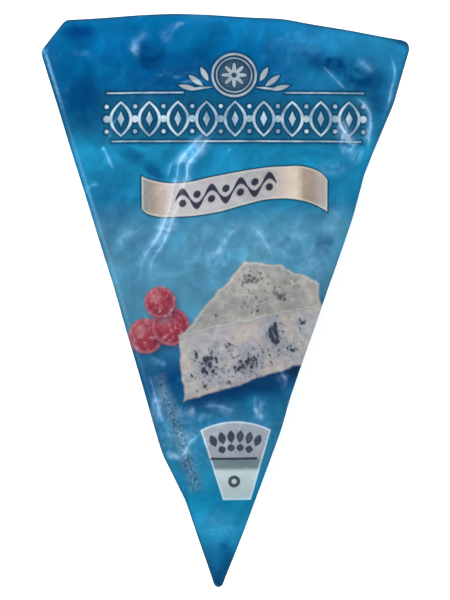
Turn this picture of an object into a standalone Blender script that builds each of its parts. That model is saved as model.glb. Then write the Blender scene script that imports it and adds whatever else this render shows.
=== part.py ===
"""A sealed wedge pack of blue cheese, lying on its back with the printed side up.

The pack is one closed solid: a deep film pocket drawn tight round a wedge of cheese, a seal
flange round the pocket's mouth, and a lid film that is pulled over the cheese's top edge down
to the flange. Lengths are in millimetres until the mesh is made, which is in metres.
+Z is up, the printed side. +Y runs from the pointed tip to the wide rind end.
"""
import math

import bpy
import numpy as np
from mathutils import Vector
from mathutils.geometry import delaunay_2d_cdt

MM = 0.001  # metres in a millimetre

# ---- driving dimensions ---------------------------------------------------------------------
PACK_LENGTH = 120.0
PACK_WIDTH = 77.0
CHEESE_TOP = 26.7  # the lid's height over the flat middle of the wedge

# The pocket's mouth is a circle sector with rounded corners: the plan of the cheese wedge.
WEDGE_RADIUS = 110.3
WEDGE_HALF_ANGLE = math.radians(17.9)
WEDGE_LEAN = math.radians(0.9)  # its middle line leans to the right of +Y
WEDGE_APEX = (-2.3, -58.8)
MOUTH_TIP_RADIUS = 3.5
MOUTH_RIND_RADIUS = 7.5
SMALLEST_RADIUS = 1.2

SEAL_TOP = 24.4  # the lid's height along the seal
SEAL_THICK = 0.7
SEAL_DROOP = 1.3  # how far the widest part of the flange hangs down at its edge
SEAL_WIDEST = 9.5
SEAL_WAVE = 0.4
SEAL_STIFF = 3.5  # the flange waves in full from this far outside the mouth
EDGE_ROUND = 0.25  # the cut edge of the flange is a little narrower at its two faces

LID_SHOULDER = 6.5  # the width of the lid's slope from the cheese's top down to the seal

POCKET_DRAFT = 2.6  # how much narrower the pocket is at its floor, each side
POCKET_FLOOR_RADIUS = 4.0
PLEAT_DEPTH = 0.6

# The flange's outline, anticlockwise from the tip: corner, x, y, rounding radius.
OUTLINE = (
    ("tip", -1.7, -61.1, 1.0),
    ("right of the tip", 4.1, -46.2, 14.0),
    ("right tuck", 11.5, -26.2, 10.0),
    ("right tuck end", 13.2, -19.9, 10.0),
    ("right waist", 26.3, 17.6, 20.0),
    ("waist hollow", 28.6, 26.4, 4.0),
    ("waist end", 30.1, 30.2, 3.0),
    ("right shoulder", 34.8, 41.4, 12.0),
    ("right rind corner", 38.6, 54.2, 1.8),
    ("rind bend", 11.5, 59.0, 30.0),
    ("rind crown", -10.0, 60.1, 60.0),
    ("peel corner, upper", -33.6, 58.8, 1.4),
    ("peel corner, lower", -38.6, 52.1, 1.6),
    ("left waist", -23.6, 4.0, 60.0),
    ("left side bend", -13.3, -31.4, 8.0),
    ("left neck", -8.4, -41.2, 8.0),
)

# Creases of the lid: crest height, half width, distance between twin crests, and its route.
CREASES = (
    ("long S crease", 0.70, 1.0, 1.9,
     ((-3.6, 34.6), (-8.4, 28.6), (-9.3, 24.8), (-12.2, 15.4), (-15.6, 8.9), (-17.2, 2.6))),
    ("short crease by the S", 0.40, 0.8, 0.0, ((-11.0, 28.9), (-12.3, 25.2))),
    ("rind crease, upper", 0.60, 1.0, 0.0, ((19.2, 49.6), (22.0, 47.1), (25.4, 43.2))),
    ("rind crease, lower", 0.75, 1.3, 0.0,
     ((25.6, 43.6), (28.9, 40.9), (30.3, 36.6), (29.6, 30.4))),
    ("right edge crease", 0.50, 1.1, 0.0,
     ((33.9, 52.4), (35.2, 47.8), (34.3, 43.4), (32.6, 37.0))),
    ("rind pucker", 0.60, 1.1, 0.0, ((-19.2, 50.2), (-18.6, 54.2), (-15.4, 56.2))),
    ("rind nick", 0.45, 0.9, 0.0, ((-13.8, 53.6), (-9.8, 58.0))),
    ("left crease", 0.50, 0.8, 0.0, ((-25.9, 32.6), (-22.9, 26.9))),
    ("left pucker", 0.40, 0.8, 0.0, ((-29.0, 21.6), (-28.2, 24.0), (-25.9, 24.3))),
    ("middle pucker, left", 0.50, 1.5, 0.0, ((-4.3, 6.8), (0.4, 12.9), (4.0, 16.4))),
    ("middle pucker, right", 0.50, 1.5, 0.0, ((4.6, 16.0), (7.4, 13.4), (10.4, 8.2))),
    ("left hollow's rim", 0.35, 1.3, 0.0, ((-21.9, 10.4), (-21.2, 13.6), (-17.4, 14.8))),
    ("lower left crease", 0.50, 1.0, 0.0, ((-16.2, -14.4), (-14.9, -19.5), (-12.4, -27.4))),
    ("lower right crease", 0.50, 0.8, 0.0, ((7.4, -19.4), (7.8, -26.0))),
    ("lower cross crease", 0.35, 0.9, 0.0, ((-6.2, -22.4), (-1.4, -22.0), (2.6, -23.4))),
    ("neck crease", 0.45, 0.8, 0.0, ((-9.0, -34.0), (-7.2, -29.4), (-3.8, -26.8))),
)

CREASE_END = 0.3  # the share of its length over which a crease dies out, at each end

# Broad swells and dents of the lid over the cheese's uneven top: x, y, radius, height.
SWELLS = (
    (-26.0, 40.0, 11.0, -0.55),
    (-9.0, 45.0, 9.0, 0.35),
    (22.0, 34.0, 9.0, -0.45),
    (26.0, 44.0, 7.0, 0.40),
    (-20.0, 22.0, 8.0, 0.35),
    (3.0, 26.0, 10.0, 0.30),
    (16.0, 12.0, 9.0, -0.40),
    (-9.0, -3.0, 8.0, -0.35),
    (7.0, -6.0, 8.0, 0.30),
    (-3.0, -24.0, 7.0, -0.35),
    (2.0, -38.0, 6.0, 0.25),
)

# ---- fineness of the mesh -------------------------------------------------------------------
SIDE_POINTS = 56  # on each long side of every ring
RIND_POINTS = 42
CORNER_CROWDING = 0.55  # rings have closer points at their three corners
SHOULDER_RINGS = 5
WALL_RINGS = 4
FLOOR_RINGS = 4
LID_SPACING = 1.75
CREASE_SPACING = 1.3
CURVE_STEP = 0.15  # between the points of a curve before it is resampled
RIM_GAP = 1.0  # between the rim's points, the creases' rows and the lattice
SEED_GAP = 0.75
NO_AREA = 1e-4  # twice the area of what three points on one straight side make


def dense_line(start, end):
    """Points from start towards end, without the end."""
    start, end = np.asarray(start, float), np.asarray(end, float)
    count = max(1, round(float(np.linalg.norm(end - start)) / CURVE_STEP))
    return start + (end - start) * (np.arange(count) / count)[:, None]


def dense_arc(centre, radius, first, last):
    """Points on an arc between two angles, without the last one."""
    count = max(4, round(abs(last - first) * radius / CURVE_STEP))
    angle = first + (last - first) * np.arange(count) / count
    return np.asarray(centre) + radius * np.stack([np.cos(angle), np.sin(angle)], 1)


def angle_of(vector):
    return math.atan2(vector[1], vector[0])


def rounded_corner(before, corner, after, radius):
    """The arc that rounds one corner of an outline, as dense points."""
    to_before, to_after = before - corner, after - corner
    room = 0.48 * min(np.linalg.norm(to_before), np.linalg.norm(to_after))
    to_before, to_after = to_before / np.linalg.norm(to_before), to_after / np.linalg.norm(to_after)
    half = math.acos(float(np.clip(to_before @ to_after, -1, 1))) / 2
    reach = min(radius / math.tan(half), room)
    radius = reach * math.tan(half)
    middle = to_before + to_after
    centre = corner + middle / np.linalg.norm(middle) * (radius / math.sin(half))
    first = angle_of(corner + to_before * reach - centre)
    last = angle_of(corner + to_after * reach - centre)
    turn = (last - first + math.pi) % (2 * math.pi) - math.pi
    return dense_arc(centre, radius, first, first + turn)


def joined(pieces):
    """One closed dense curve from pieces, with straight runs put in between them."""
    points = []
    for piece, following in zip(pieces, pieces[1:] + pieces[:1]):
        points += [piece, dense_line(piece[-1], following[0])[1:]]
    return np.concatenate([p for p in points if len(p)])


def flange_outline():
    """The pack's outline and its three landmarks: tip, right rind corner, middle of the peel corner."""
    corners = np.array([(x, y) for _, x, y, _ in OUTLINE])
    arcs = [
        rounded_corner(corners[i - 1], corners[i], corners[(i + 1) % len(corners)], OUTLINE[i][3])
        for i in range(len(corners))
    ]
    curve = joined(arcs)
    names = [name for name, *_ in OUTLINE]
    tip = arcs[names.index("tip")].mean(0)
    right = arcs[names.index("right rind corner")].mean(0)
    left = (corners[names.index("peel corner, upper")] + corners[names.index("peel corner, lower")]) / 2
    low, high = curve.min(0), curve.max(0)
    middle, size = (low + high) / 2, high - low
    scale = np.array([PACK_WIDTH, PACK_LENGTH]) / size
    return (curve - middle) * scale, [(mark - middle) * scale for mark in (tip, right, left)]


def wedge_section(inset):
    """The wedge's plan, moved in from the pocket's mouth by inset, with its three landmarks."""
    axis = np.array([math.sin(WEDGE_LEAN), math.cos(WEDGE_LEAN)])
    apex = np.asarray(WEDGE_APEX)
    start = apex + axis * (inset / math.sin(WEDGE_HALF_ANGLE))
    radius = WEDGE_RADIUS - inset
    tip_radius = max(MOUTH_TIP_RADIUS - 0.35 * inset, SMALLEST_RADIUS)
    rind_radius = max(MOUTH_RIND_RADIUS - inset, SMALLEST_RADIUS)
    up = math.pi / 2 - WEDGE_LEAN
    tip_centre = start + axis * (tip_radius / math.sin(WEDGE_HALF_ANGLE))
    swing = math.pi / 2 - WEDGE_HALF_ANGLE
    tip_arc = dense_arc(tip_centre, tip_radius, up + math.pi - swing, up + math.pi + swing)

    def rind_corner(side):
        """Centre of the fillet between one straight side and the rind's arc."""
        along = np.array([math.cos(up + side * WEDGE_HALF_ANGLE), math.sin(up + side * WEDGE_HALF_ANGLE)])
        inward = np.array([along[1], -along[0]]) * side
        offset = start + inward * rind_radius - apex
        b, c = float(offset @ along), float(offset @ offset) - (radius - rind_radius) ** 2
        return apex + offset + along * (-b + math.sqrt(b * b - c))

    right, left = rind_corner(-1), rind_corner(1)
    right_arc = dense_arc(right, rind_radius, up - WEDGE_HALF_ANGLE - math.pi / 2, angle_of(right - apex))
    left_arc = dense_arc(left, rind_radius, angle_of(left - apex), up + WEDGE_HALF_ANGLE + math.pi / 2)
    rind_arc = dense_arc(apex, radius, angle_of(right - apex), angle_of(left - apex))
    curve = joined([tip_arc, right_arc, rind_arc, left_arc])
    marks = [arc[len(arc) // 2] for arc in (tip_arc, right_arc, left_arc)]
    return curve, marks


def ring(curve, marks):
    """A closed curve resampled so that point n of every ring lies in the same direction."""
    places = [int(np.argmin(((curve - mark) ** 2).sum(1))) for mark in marks]
    curve = np.roll(curve, -places[0], axis=0)
    stops = [0] + [(place - places[0]) % len(curve) for place in places[1:]] + [len(curve)]
    closed = np.concatenate([curve, curve[:1]])
    length = np.concatenate([[0], np.cumsum(np.linalg.norm(np.diff(closed, axis=0), axis=1))])
    at = []
    for first, last, count in zip(stops, stops[1:], (SIDE_POINTS, RIND_POINTS, SIDE_POINTS)):
        t = np.arange(count) / count
        t = t - CORNER_CROWDING * np.sin(2 * math.pi * t) / (2 * math.pi)
        at.append(length[first] + (length[last] - length[first]) * t)
    at = np.concatenate(at)
    return np.stack([np.interp(at, length, closed[:, k]) for k in (0, 1)], 1)


def smooth_route(points, step):
    """A Catmull-Rom curve through points, read every step mm or so."""
    points = np.asarray(points, float)
    ends = np.concatenate([[2 * points[0] - points[1]], points, [2 * points[-1] - points[-2]]])
    out = []
    for a, b, c, d in zip(ends, ends[1:], ends[2:], ends[3:]):
        count = max(2, round(float(np.linalg.norm(c - b)) / step))
        t = (np.arange(count) / count)[:, None]
        out.append(b + (c - a) * t / 2 + (a - 2.5 * b + 2 * c - d / 2) * t**2 + (1.5 * (b - c) + (d - a) / 2) * t**3)
    return np.concatenate(out + [points[-1:]])


def nearest_on(route, places):
    """For each place, its distance to a route and how far along the route that is, from 0 to 1."""
    best, along = np.full(len(places), np.inf), np.zeros(len(places))
    for i, (a, b) in enumerate(zip(route, route[1:])):
        run = b - a
        t = np.clip(((places - a) @ run) / (run @ run), 0, 1)
        gap = np.linalg.norm(places - a - t[:, None] * run, axis=1)
        closer = gap < best
        best[closer], along[closer] = gap[closer], (i + t[closer]) / (len(route) - 1)
    return best, along


def creases_height(places):
    """Height that the creases add: each is a sharp crest that dies out at its two ends."""
    height = np.zeros(len(places))
    for _, crest, half_width, twin, points in CREASES:
        gap, along = nearest_on(smooth_route(points, 1.0), places)
        flank = np.clip(1 - abs(gap - twin / 2) / half_width, 0, 1)
        fade = np.clip(np.minimum(along, 1 - along) / CREASE_END, 0, 1)
        height = np.maximum(height, crest * flank**1.5 * fade * fade * (3 - 2 * fade))
    return height


def swells_height(places):
    height = np.zeros(len(places))
    for x, y, radius, rise in SWELLS:
        gap = np.linalg.norm(places - (x, y), axis=1) / radius
        height += rise * np.exp(-(gap**2))
    return height


def lid_height(places, climb):
    """The lid over the wedge, where climb goes from 0 at the seal to 1 past the shoulder."""
    relief = swells_height(places) * climb + creases_height(places) * (0.35 + 0.65 * climb)
    return SEAL_TOP + (CHEESE_TOP - SEAL_TOP) * np.sin(math.pi / 2 * climb) + relief


def flange_height(places, beyond):
    """How the flange hangs and waves, beyond mm outside the pocket's mouth."""
    x, y = places.T
    wave = np.sin(0.37 * y + 0.15 * x + 0.7) + 0.6 * np.sin(0.42 * x - 0.2 * y + 2.1)
    free = np.clip(beyond / SEAL_STIFF, 0, 1)
    return SEAL_WAVE * wave * free * free * (3 - 2 * free) - SEAL_DROOP * (beyond / SEAL_WIDEST) ** 1.5


def pocket_rings():
    """The pocket's wall from the mouth down to the floor, as a list of inset, height and pleat."""
    top = SEAL_TOP - SEAL_THICK
    rows = []
    for k in range(1, WALL_RINGS + 1):
        t = k / WALL_RINGS
        pleat = math.sin(math.pi * min(t, 0.8) / 0.8) if t < 0.8 else 0.0
        rows.append((POCKET_DRAFT * t, top + (POCKET_FLOOR_RADIUS - top) * t, pleat))
    for k in range(1, FLOOR_RINGS + 1):
        angle = math.pi / 2 * k / FLOOR_RINGS
        bend = POCKET_FLOOR_RADIUS * (1 - math.cos(angle))
        rows.append((POCKET_DRAFT + bend, POCKET_FLOOR_RADIUS * (1 - math.sin(angle)), 0.0))
    return rows


def pleated(section, strength):
    """A wall section with upright pleats, deepest where the film was gathered round the corners."""
    turn = 2 * math.pi * np.arange(len(section)) / len(section)
    folds = np.sin(23 * turn + 0.4) + 0.7 * np.sin(37 * turn + 1.9) + 0.5 * np.sin(51 * turn)
    middle = section.mean(0)
    outward = (section - middle) / np.linalg.norm(section - middle, axis=1)[:, None]
    return section - outward * (PLEAT_DEPTH * strength * (1 + folds / 2.2) / 2)[:, None]


def rim_clearance(places, rim, gap):
    """Those of the places that lie inside the rim and at least gap from it."""
    x, y = places[:, 0], places[:, 1]
    inside = np.zeros(len(places), bool)
    nearest = np.full(len(places), np.inf)
    for a, b in zip(rim, np.roll(rim, -1, axis=0)):
        crossing = ((a[1] > y) != (b[1] > y)) & (x < (b[0] - a[0]) * (y - a[1]) / (b[1] - a[1] + 1e-12) + a[0])
        inside ^= crossing
        run = b - a
        t = np.clip(((places - a) @ run) / (run @ run), 0, 1)
        nearest = np.minimum(nearest, np.linalg.norm(places - a - t[:, None] * run, axis=1))
    return places[inside & (nearest > gap)]


def thinned(places, gap):
    """The places in their order, without any that comes closer than gap to one kept before."""
    kept = []
    for place in places:
        if not kept or np.linalg.norm(np.array(kept) - place, axis=1).min() > gap:
            kept.append(place)
    return np.array(kept)


def triangles_inside(places, rim_count):
    """Triangles over all the places, inside the closed rim that the first rim_count of them make."""
    rim_edges = [(i, (i + 1) % rim_count) for i in range(rim_count)]
    found = delaunay_2d_cdt([Vector(place) for place in places], rim_edges, [], 1, 1e-5, True)
    _, _, faces, sources = found[:4]
    if any(len(source) != 1 for source in sources):
        raise ValueError("two places coincide")
    order = [source[0] for source in sources]
    triangles = [tuple(order[i] for i in face) for face in faces]
    a, b, c = (places[np.array(triangles)[:, k]] for k in range(3))
    twice_area = (b - a)[:, 0] * (c - a)[:, 1] - (b - a)[:, 1] * (c - a)[:, 0]
    return [triangle for triangle, area in zip(triangles, twice_area) if area > NO_AREA]


def lid_patch(rim):
    """The lid inside the last shoulder ring: its places, with the rim's first, and their triangles.

    Rows of points follow each crease's crest and feet, and an even lattice fills the rest.
    """
    rows = []
    for _, _, half_width, twin, points in CREASES:
        route = smooth_route(points, CREASE_SPACING)
        run = np.gradient(route, axis=0)
        across = np.stack([-run[:, 1], run[:, 0]], 1) / np.linalg.norm(run, axis=1)[:, None]
        feet = twin / 2 + half_width
        rows += [route + across * offset for offset in sorted({0.0, -twin / 2, twin / 2, -feet, feet})]
    seeds = thinned(rim_clearance(np.concatenate(rows), rim, RIM_GAP), SEED_GAP)
    low, high = rim.min(0), rim.max(0)
    levels = np.arange(low[1], high[1], LID_SPACING * math.sin(math.radians(60)))
    lattice = np.array([
        (x + (n % 2) * LID_SPACING / 2, y)
        for n, y in enumerate(levels)
        for x in np.arange(low[0], high[0], LID_SPACING)
    ])
    lattice = rim_clearance(lattice, rim, RIM_GAP)
    gap = np.linalg.norm(lattice[:, None] - seeds[None], axis=2).min(1)
    places = np.concatenate([rim, seeds, lattice[gap > RIM_GAP]])
    return places, triangles_inside(places, len(rim))


class Shell:
    """Gathers the solid's points and faces, ring by ring."""

    def __init__(self):
        self.points, self.faces = [], []

    def add_points(self, plan, heights):
        first = len(self.points)
        heights = np.broadcast_to(heights, len(plan))
        self.points += [(x, y, z) for (x, y), z in zip(plan, heights)]
        return range(first, len(self.points))

    def band(self, outer, inner):
        """Faces between two rings. They face up when inner is the smaller ring and lies on top."""
        count = len(outer)
        for i in range(count):
            j = (i + 1) % count
            self.faces.append((outer[i], outer[j], inner[j], inner[i]))


def build_pack():
    shell = Shell()
    outline = ring(*flange_outline())
    mouth = ring(*wedge_section(0.0))
    width = np.linalg.norm(mouth - outline, axis=1)
    edge = outline + (mouth - outline) * (EDGE_ROUND / width)[:, None]
    half_way = (outline + mouth) / 2
    edge_top = SEAL_TOP + flange_height(outline, width)
    half_way_top = SEAL_TOP + flange_height(half_way, width / 2)

    # The lid's side, from the cut edge inwards.
    middle = shell.add_points(outline, edge_top - SEAL_THICK / 2)
    top_edge = shell.add_points(edge, edge_top)
    top_half = shell.add_points(half_way, half_way_top)
    top_mouth = shell.add_points(mouth, lid_height(mouth, 0.0))
    rings = [middle, top_edge, top_half, top_mouth]
    for k in range(1, SHOULDER_RINGS + 1):
        climb = k / SHOULDER_RINGS
        section = ring(*wedge_section(LID_SHOULDER * climb))
        rings.append(shell.add_points(section, lid_height(section, climb)))
    for outer, inner in zip(rings, rings[1:]):
        shell.band(outer, inner)

    # The field inside the shoulder.
    rim = ring(*wedge_section(LID_SHOULDER))
    places, triangles = lid_patch(rim)
    inner = places[len(rim):]
    index = [*rings[-1], *shell.add_points(inner, lid_height(inner, 1.0))]
    shell.faces += [tuple(index[i] for i in triangle) for triangle in triangles]

    # The back, from the cut edge to the floor.
    under_edge = shell.add_points(edge, edge_top - SEAL_THICK)
    under_half = shell.add_points(half_way, half_way_top - SEAL_THICK)
    under_mouth = shell.add_points(mouth, SEAL_TOP - SEAL_THICK)
    rings = [middle, under_edge, under_half, under_mouth]
    for inset, height, pleat in pocket_rings():
        rings.append(shell.add_points(pleated(ring(*wedge_section(inset)), pleat), height))
    for outer, inner in zip(rings, rings[1:]):
        shell.band(inner, outer)
    floor = rings[-1]
    flat = np.array([shell.points[i][:2] for i in floor])
    shell.faces += [tuple(floor[i] for i in reversed(t)) for t in triangles_inside(flat, len(flat))]
    return shell


def printed_film():
    """The glossy blue film's material."""
    material = bpy.data.materials.new("printed_film")
    material.use_nodes = True
    shader = material.node_tree.nodes["Principled BSDF"]
    shader.inputs["Base Color"].default_value = (0.012, 0.165, 0.38, 1)
    shader.inputs["Roughness"].default_value = 0.22
    shader.inputs["Metallic"].default_value = 0.0
    return material


def clear_scene():
    for thing in list(bpy.data.objects):
        bpy.data.objects.remove(thing, do_unlink=True)


def main():
    clear_scene()
    shell = build_pack()
    print(f"the highest crease stands {max(z for _, _, z in shell.points):.2f} mm high")
    mesh = bpy.data.meshes.new("cheese_pack")
    mesh.from_pydata([(x * MM, y * MM, z * MM) for x, y, z in shell.points], [], shell.faces)
    mesh.materials.append(printed_film())
    mesh.shade_smooth()
    mesh.set_sharp_from_angle(angle=math.radians(75))
    mesh.validate()
    pack = bpy.data.objects.new("cheese_pack", mesh)
    home = bpy.data.collections.new("blue_cheese_pack")
    bpy.context.scene.collection.children.link(home)
    home.objects.link(pack)
    print(f"cheese_pack has {sum(len(p.vertices) - 2 for p in mesh.polygons)} triangles")


main()
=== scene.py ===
# %% [markdown]
# # A sealed wedge pack of blue cheese
# The real object is a wedge of soft cheese in a pocket of glossy blue film. A printed lid film is
# drawn over the cheese and sealed all round to a flange, and the pack lies with its print up.
# The measured solid of the pack is loaded first, and every mesh below is fitted to it. Lengths are
# in millimetres until a mesh is made, because film is thin and millimetres keep the numbers short.

# %% Load the measured solid
import math

import bpy
import numpy as np
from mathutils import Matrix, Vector, kdtree, noise
from mathutils.geometry import delaunay_2d_cdt


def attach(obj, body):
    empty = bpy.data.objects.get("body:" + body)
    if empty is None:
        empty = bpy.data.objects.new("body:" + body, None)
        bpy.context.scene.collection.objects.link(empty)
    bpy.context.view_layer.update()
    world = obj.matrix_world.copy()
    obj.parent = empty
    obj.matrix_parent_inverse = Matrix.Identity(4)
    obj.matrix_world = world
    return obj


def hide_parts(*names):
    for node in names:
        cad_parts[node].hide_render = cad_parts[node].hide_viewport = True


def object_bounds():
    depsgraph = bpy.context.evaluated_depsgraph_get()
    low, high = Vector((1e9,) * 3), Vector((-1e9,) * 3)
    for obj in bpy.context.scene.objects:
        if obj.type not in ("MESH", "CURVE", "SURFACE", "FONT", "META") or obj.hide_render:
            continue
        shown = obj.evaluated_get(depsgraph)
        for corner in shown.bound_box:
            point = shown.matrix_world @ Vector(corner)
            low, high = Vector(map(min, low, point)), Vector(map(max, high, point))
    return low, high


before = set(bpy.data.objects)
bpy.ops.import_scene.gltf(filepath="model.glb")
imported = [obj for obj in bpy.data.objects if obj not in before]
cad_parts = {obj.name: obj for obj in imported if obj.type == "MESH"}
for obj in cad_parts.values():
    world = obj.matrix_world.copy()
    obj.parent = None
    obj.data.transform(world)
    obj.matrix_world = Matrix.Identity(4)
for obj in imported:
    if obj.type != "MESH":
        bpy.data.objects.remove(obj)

MM = 0.001
cad_low, cad_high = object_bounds()
pack_size = (cad_high - cad_low) / MM
print(f"the pack measures {pack_size.x:.1f} x {pack_size.y:.1f} x {pack_size.z:.1f} mm")

# %% [markdown]
# ## The cut edge
# Lid and pocket film were sealed together and then cut in one stroke, so both share one outline.
# It could be drawn again by hand, but the solid already has it: it is the only loop of edges where
# a face that looks up meets a face that looks down. Walking along that loop gives the outline in
# order.

# %% Find the outline in the solid
SAME_PLACE = 5  # decimals of a millimetre at which two of the solid's points are one


def loop_between_up_and_down(mesh):
    """The points, in order, of the loop where upward faces meet downward ones."""
    mesh.calc_loop_triangles()
    points = [tuple(round(v / MM, SAME_PLACE) for v in vertex.co) for vertex in mesh.vertices]
    looks_up = {}
    for triangle in mesh.loop_triangles:
        a, b, c = (points[i] for i in triangle.vertices)
        up = (b[0] - a[0]) * (c[1] - a[1]) - (b[1] - a[1]) * (c[0] - a[0]) > 0
        for start, end in ((a, b), (b, c), (c, a)):
            looks_up[start, end] = up
    following = {a: b for (a, b), up in looks_up.items() if up and not looks_up[b, a]}
    loops = []
    while following:
        start, place = following.popitem()
        loop = [start]
        while place in following:
            loop.append(place)
            place = following.pop(place)
        loops.append(np.array(loop))
    return max(loops, key=len)


cut_loop = loop_between_up_and_down(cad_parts["cheese_pack"].data)
print(f"the solid's outline has {len(cut_loop)} points")

# %% [markdown]
# The solid's points are too far apart for thin film. A subdivision surface would smooth the outline
# too, but it would shrink it. A smooth curve that runs through all the points keeps every one, and
# it can be read at any fineness.

# %% Draw the cut edge through those points
EDGE_STEP = 0.32  # between the points of the cut edge
CURVE_PARTS = 12  # how finely each stretch of a closed curve is worked out at first


def between(before, start, end, beyond, t):
    """Places on a smooth curve from start to end, bent by the points before and beyond them."""
    straight = (end - before) * t / 2
    bend = (before - 2.5 * start + 2 * end - beyond / 2) * t**2
    return start + straight + bend + (1.5 * (start - end) + (beyond - before) / 2) * t**3


def step_lengths(line):
    """The distance from each point of a line to the next."""
    return np.linalg.norm(np.diff(line, axis=0), axis=1)


def closed_curve(points, step):
    """A smooth curve through a closed loop of points, read at even steps."""
    before, after, beyond = (np.roll(points, shift, axis=0) for shift in (1, -1, -2))
    t = (np.arange(CURVE_PARTS) / CURVE_PARTS)[:, None, None]
    dense = between(before, points, after, beyond, t)
    dense = dense.transpose(1, 0, 2).reshape(-1, points.shape[1])
    closed = np.concatenate([dense, dense[:1]])
    length = np.concatenate([[0], np.cumsum(step_lengths(closed))])
    at = np.linspace(0, length[-1], round(length[-1] / step), endpoint=False)
    return np.stack([np.interp(at, length, closed[:, k]) for k in range(points.shape[1])], 1)


cut_edge = closed_curve(cut_loop[:, :2], EDGE_STEP)
edge_run = np.roll(cut_edge, -1, axis=0) - np.roll(cut_edge, 1, axis=0)
edge_inward = np.stack([-edge_run[:, 1], edge_run[:, 0]], 1)
edge_inward /= np.linalg.norm(edge_inward, axis=1)[:, None]
print(f"the cut edge has {len(cut_edge)} points and is {step_lengths(cut_edge).sum():.0f} mm long")

# %% [markdown]
# ## The pocket's mouth
# A wedge cut from a round cheese is a circle sector in plan, so the mouth of its pocket is one too,
# with rounded corners. All heights of the film depend on how far a place lies inside the mouth.
# The plain answer is the smallest of three distances: to each straight side and to the rind's arc.
# A smooth minimum is used instead, because it rounds the corners as taut film does.

# %% How far inside the mouth a place lies
WEDGE_RADIUS = 110.3
WEDGE_HALF_ANGLE = math.radians(17.9)
WEDGE_LEAN = math.radians(0.9)
WEDGE_APEX = np.array([-2.3, -58.8])
TIP_ROUNDING = 3.5
TIP_TIGHTENING = 0.35  # how much smaller the tip's rounding gets for each millimetre of inset
RIND_ROUNDING = 7.5
LEAST_ROUNDING = 1.2
RIND_HALF_CORNER = math.radians(45)


def smooth_minimum(first, second, blend):
    """The smaller of two distances, rounded off where they are less than blend apart."""
    near = np.clip(1 - abs(first - second) / blend, 0, None)
    return np.minimum(first, second) - near * near * blend / 4


def blend_for(rounding, half_corner):
    """The blend whose zero line rounds a corner by that radius."""
    return 4 * rounding * (1 - math.sin(half_corner))


def depth_in_mouth(places):
    """Millimetres inside the mouth, negative outside."""
    from_apex = places - WEDGE_APEX
    axis = np.array([math.sin(WEDGE_LEAN), math.cos(WEDGE_LEAN)])
    along = from_apex @ axis * math.sin(WEDGE_HALF_ANGLE)
    across = from_apex @ np.array([axis[1], -axis[0]]) * math.cos(WEDGE_HALF_ANGLE)
    to_rind = WEDGE_RADIUS - np.linalg.norm(from_apex, axis=1)
    to_sides = smooth_minimum(along - across, along + across, blend_for(TIP_ROUNDING, WEDGE_HALF_ANGLE))
    return smooth_minimum(to_sides, to_rind, blend_for(RIND_ROUNDING, RIND_HALF_CORNER))


print(f"the place (0, 40) lies {depth_in_mouth(np.array([[0.0, 40.0]]))[0]:.1f} mm inside the mouth")

# %% [markdown]
# The same sector is also needed as a closed line, for the mouth itself and for each section of the
# pocket below it. It is four arcs and two straight sides. Every section has the same number of
# points on each of them, so point for point the sections lie over one another.

# %% The sector as a closed line
TIP_POINTS, SIDE_POINTS, CORNER_POINTS, RIND_POINTS = 60, 190, 64, 170
MOUTH_STEP = 0.1


def tree_of(places):
    """Places ready to be asked which of them is nearest."""
    tree = kdtree.KDTree(len(places))
    for number, (x, y) in enumerate(places):
        tree.insert((x, y, 0), number)
    tree.balance()
    return tree


def directions(first, last, count):
    """Arrows of length 1 at even angles, without the last angle."""
    angle = np.linspace(first, last, count, endpoint=False)
    return np.stack([np.cos(angle), np.sin(angle)], 1)


def wedge_section(inset):
    """The sector drawn in by an inset: its points and the outward direction at each of them."""
    # The corners' circles: their radii shrink with the inset, and their centres move inwards.
    up = math.pi / 2 - WEDGE_LEAN
    tip_radius = max(TIP_ROUNDING - TIP_TIGHTENING * inset, LEAST_ROUNDING)
    rind_radius = max(RIND_ROUNDING - inset, LEAST_ROUNDING)
    corner_reach = WEDGE_RADIUS - inset - rind_radius
    corner_turn = math.asin((inset + rind_radius) / corner_reach)
    swing = math.pi / 2 - WEDGE_HALF_ANGLE
    axis = np.array([math.cos(up), math.sin(up)])
    tip_centre = WEDGE_APEX + axis * (inset + tip_radius) / math.sin(WEDGE_HALF_ANGLE)
    right_angle, left_angle = (up - WEDGE_HALF_ANGLE + corner_turn, up + WEDGE_HALF_ANGLE - corner_turn)
    right_centre, left_centre = (
        WEDGE_APEX + corner_reach * np.array([math.cos(angle), math.sin(angle)])
        for angle in (right_angle, left_angle)
    )
    # The outward directions on the four arcs, anticlockwise from the left end of the tip.
    tip_out = directions(up + math.pi - swing, up + math.pi + swing, TIP_POINTS)
    right_out = directions(up - WEDGE_HALF_ANGLE - math.pi / 2, right_angle, CORNER_POINTS)
    rind_out = directions(right_angle, left_angle, RIND_POINTS)
    left_out = directions(left_angle, up + WEDGE_HALF_ANGLE + math.pi / 2, CORNER_POINTS)
    left_side_out = directions(up + WEDGE_HALF_ANGLE + math.pi / 2, 0, 1)
    # The arcs themselves, and the two straight sides that join them.
    tip_arc = tip_centre + tip_radius * tip_out
    right_arc = right_centre + rind_radius * right_out
    rind_arc = WEDGE_APEX + (WEDGE_RADIUS - inset) * rind_out
    left_arc = left_centre + rind_radius * left_out
    right_start = tip_centre + tip_radius * right_out[0]
    left_start = left_centre + rind_radius * left_side_out[0]
    share = (np.arange(SIDE_POINTS) / SIDE_POINTS)[:, None]
    right_side = right_start + (right_arc[0] - right_start) * share
    left_side = left_start + (tip_arc[0] - left_start) * share
    points = np.concatenate([tip_arc, right_side, right_arc, rind_arc, left_arc, left_side])
    outward = np.concatenate([
        tip_out,
        np.repeat(right_out[:1], SIDE_POINTS, 0),
        right_out,
        rind_out,
        left_out,
        np.repeat(left_side_out, SIDE_POINTS, 0),
    ])
    return points, outward


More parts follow.
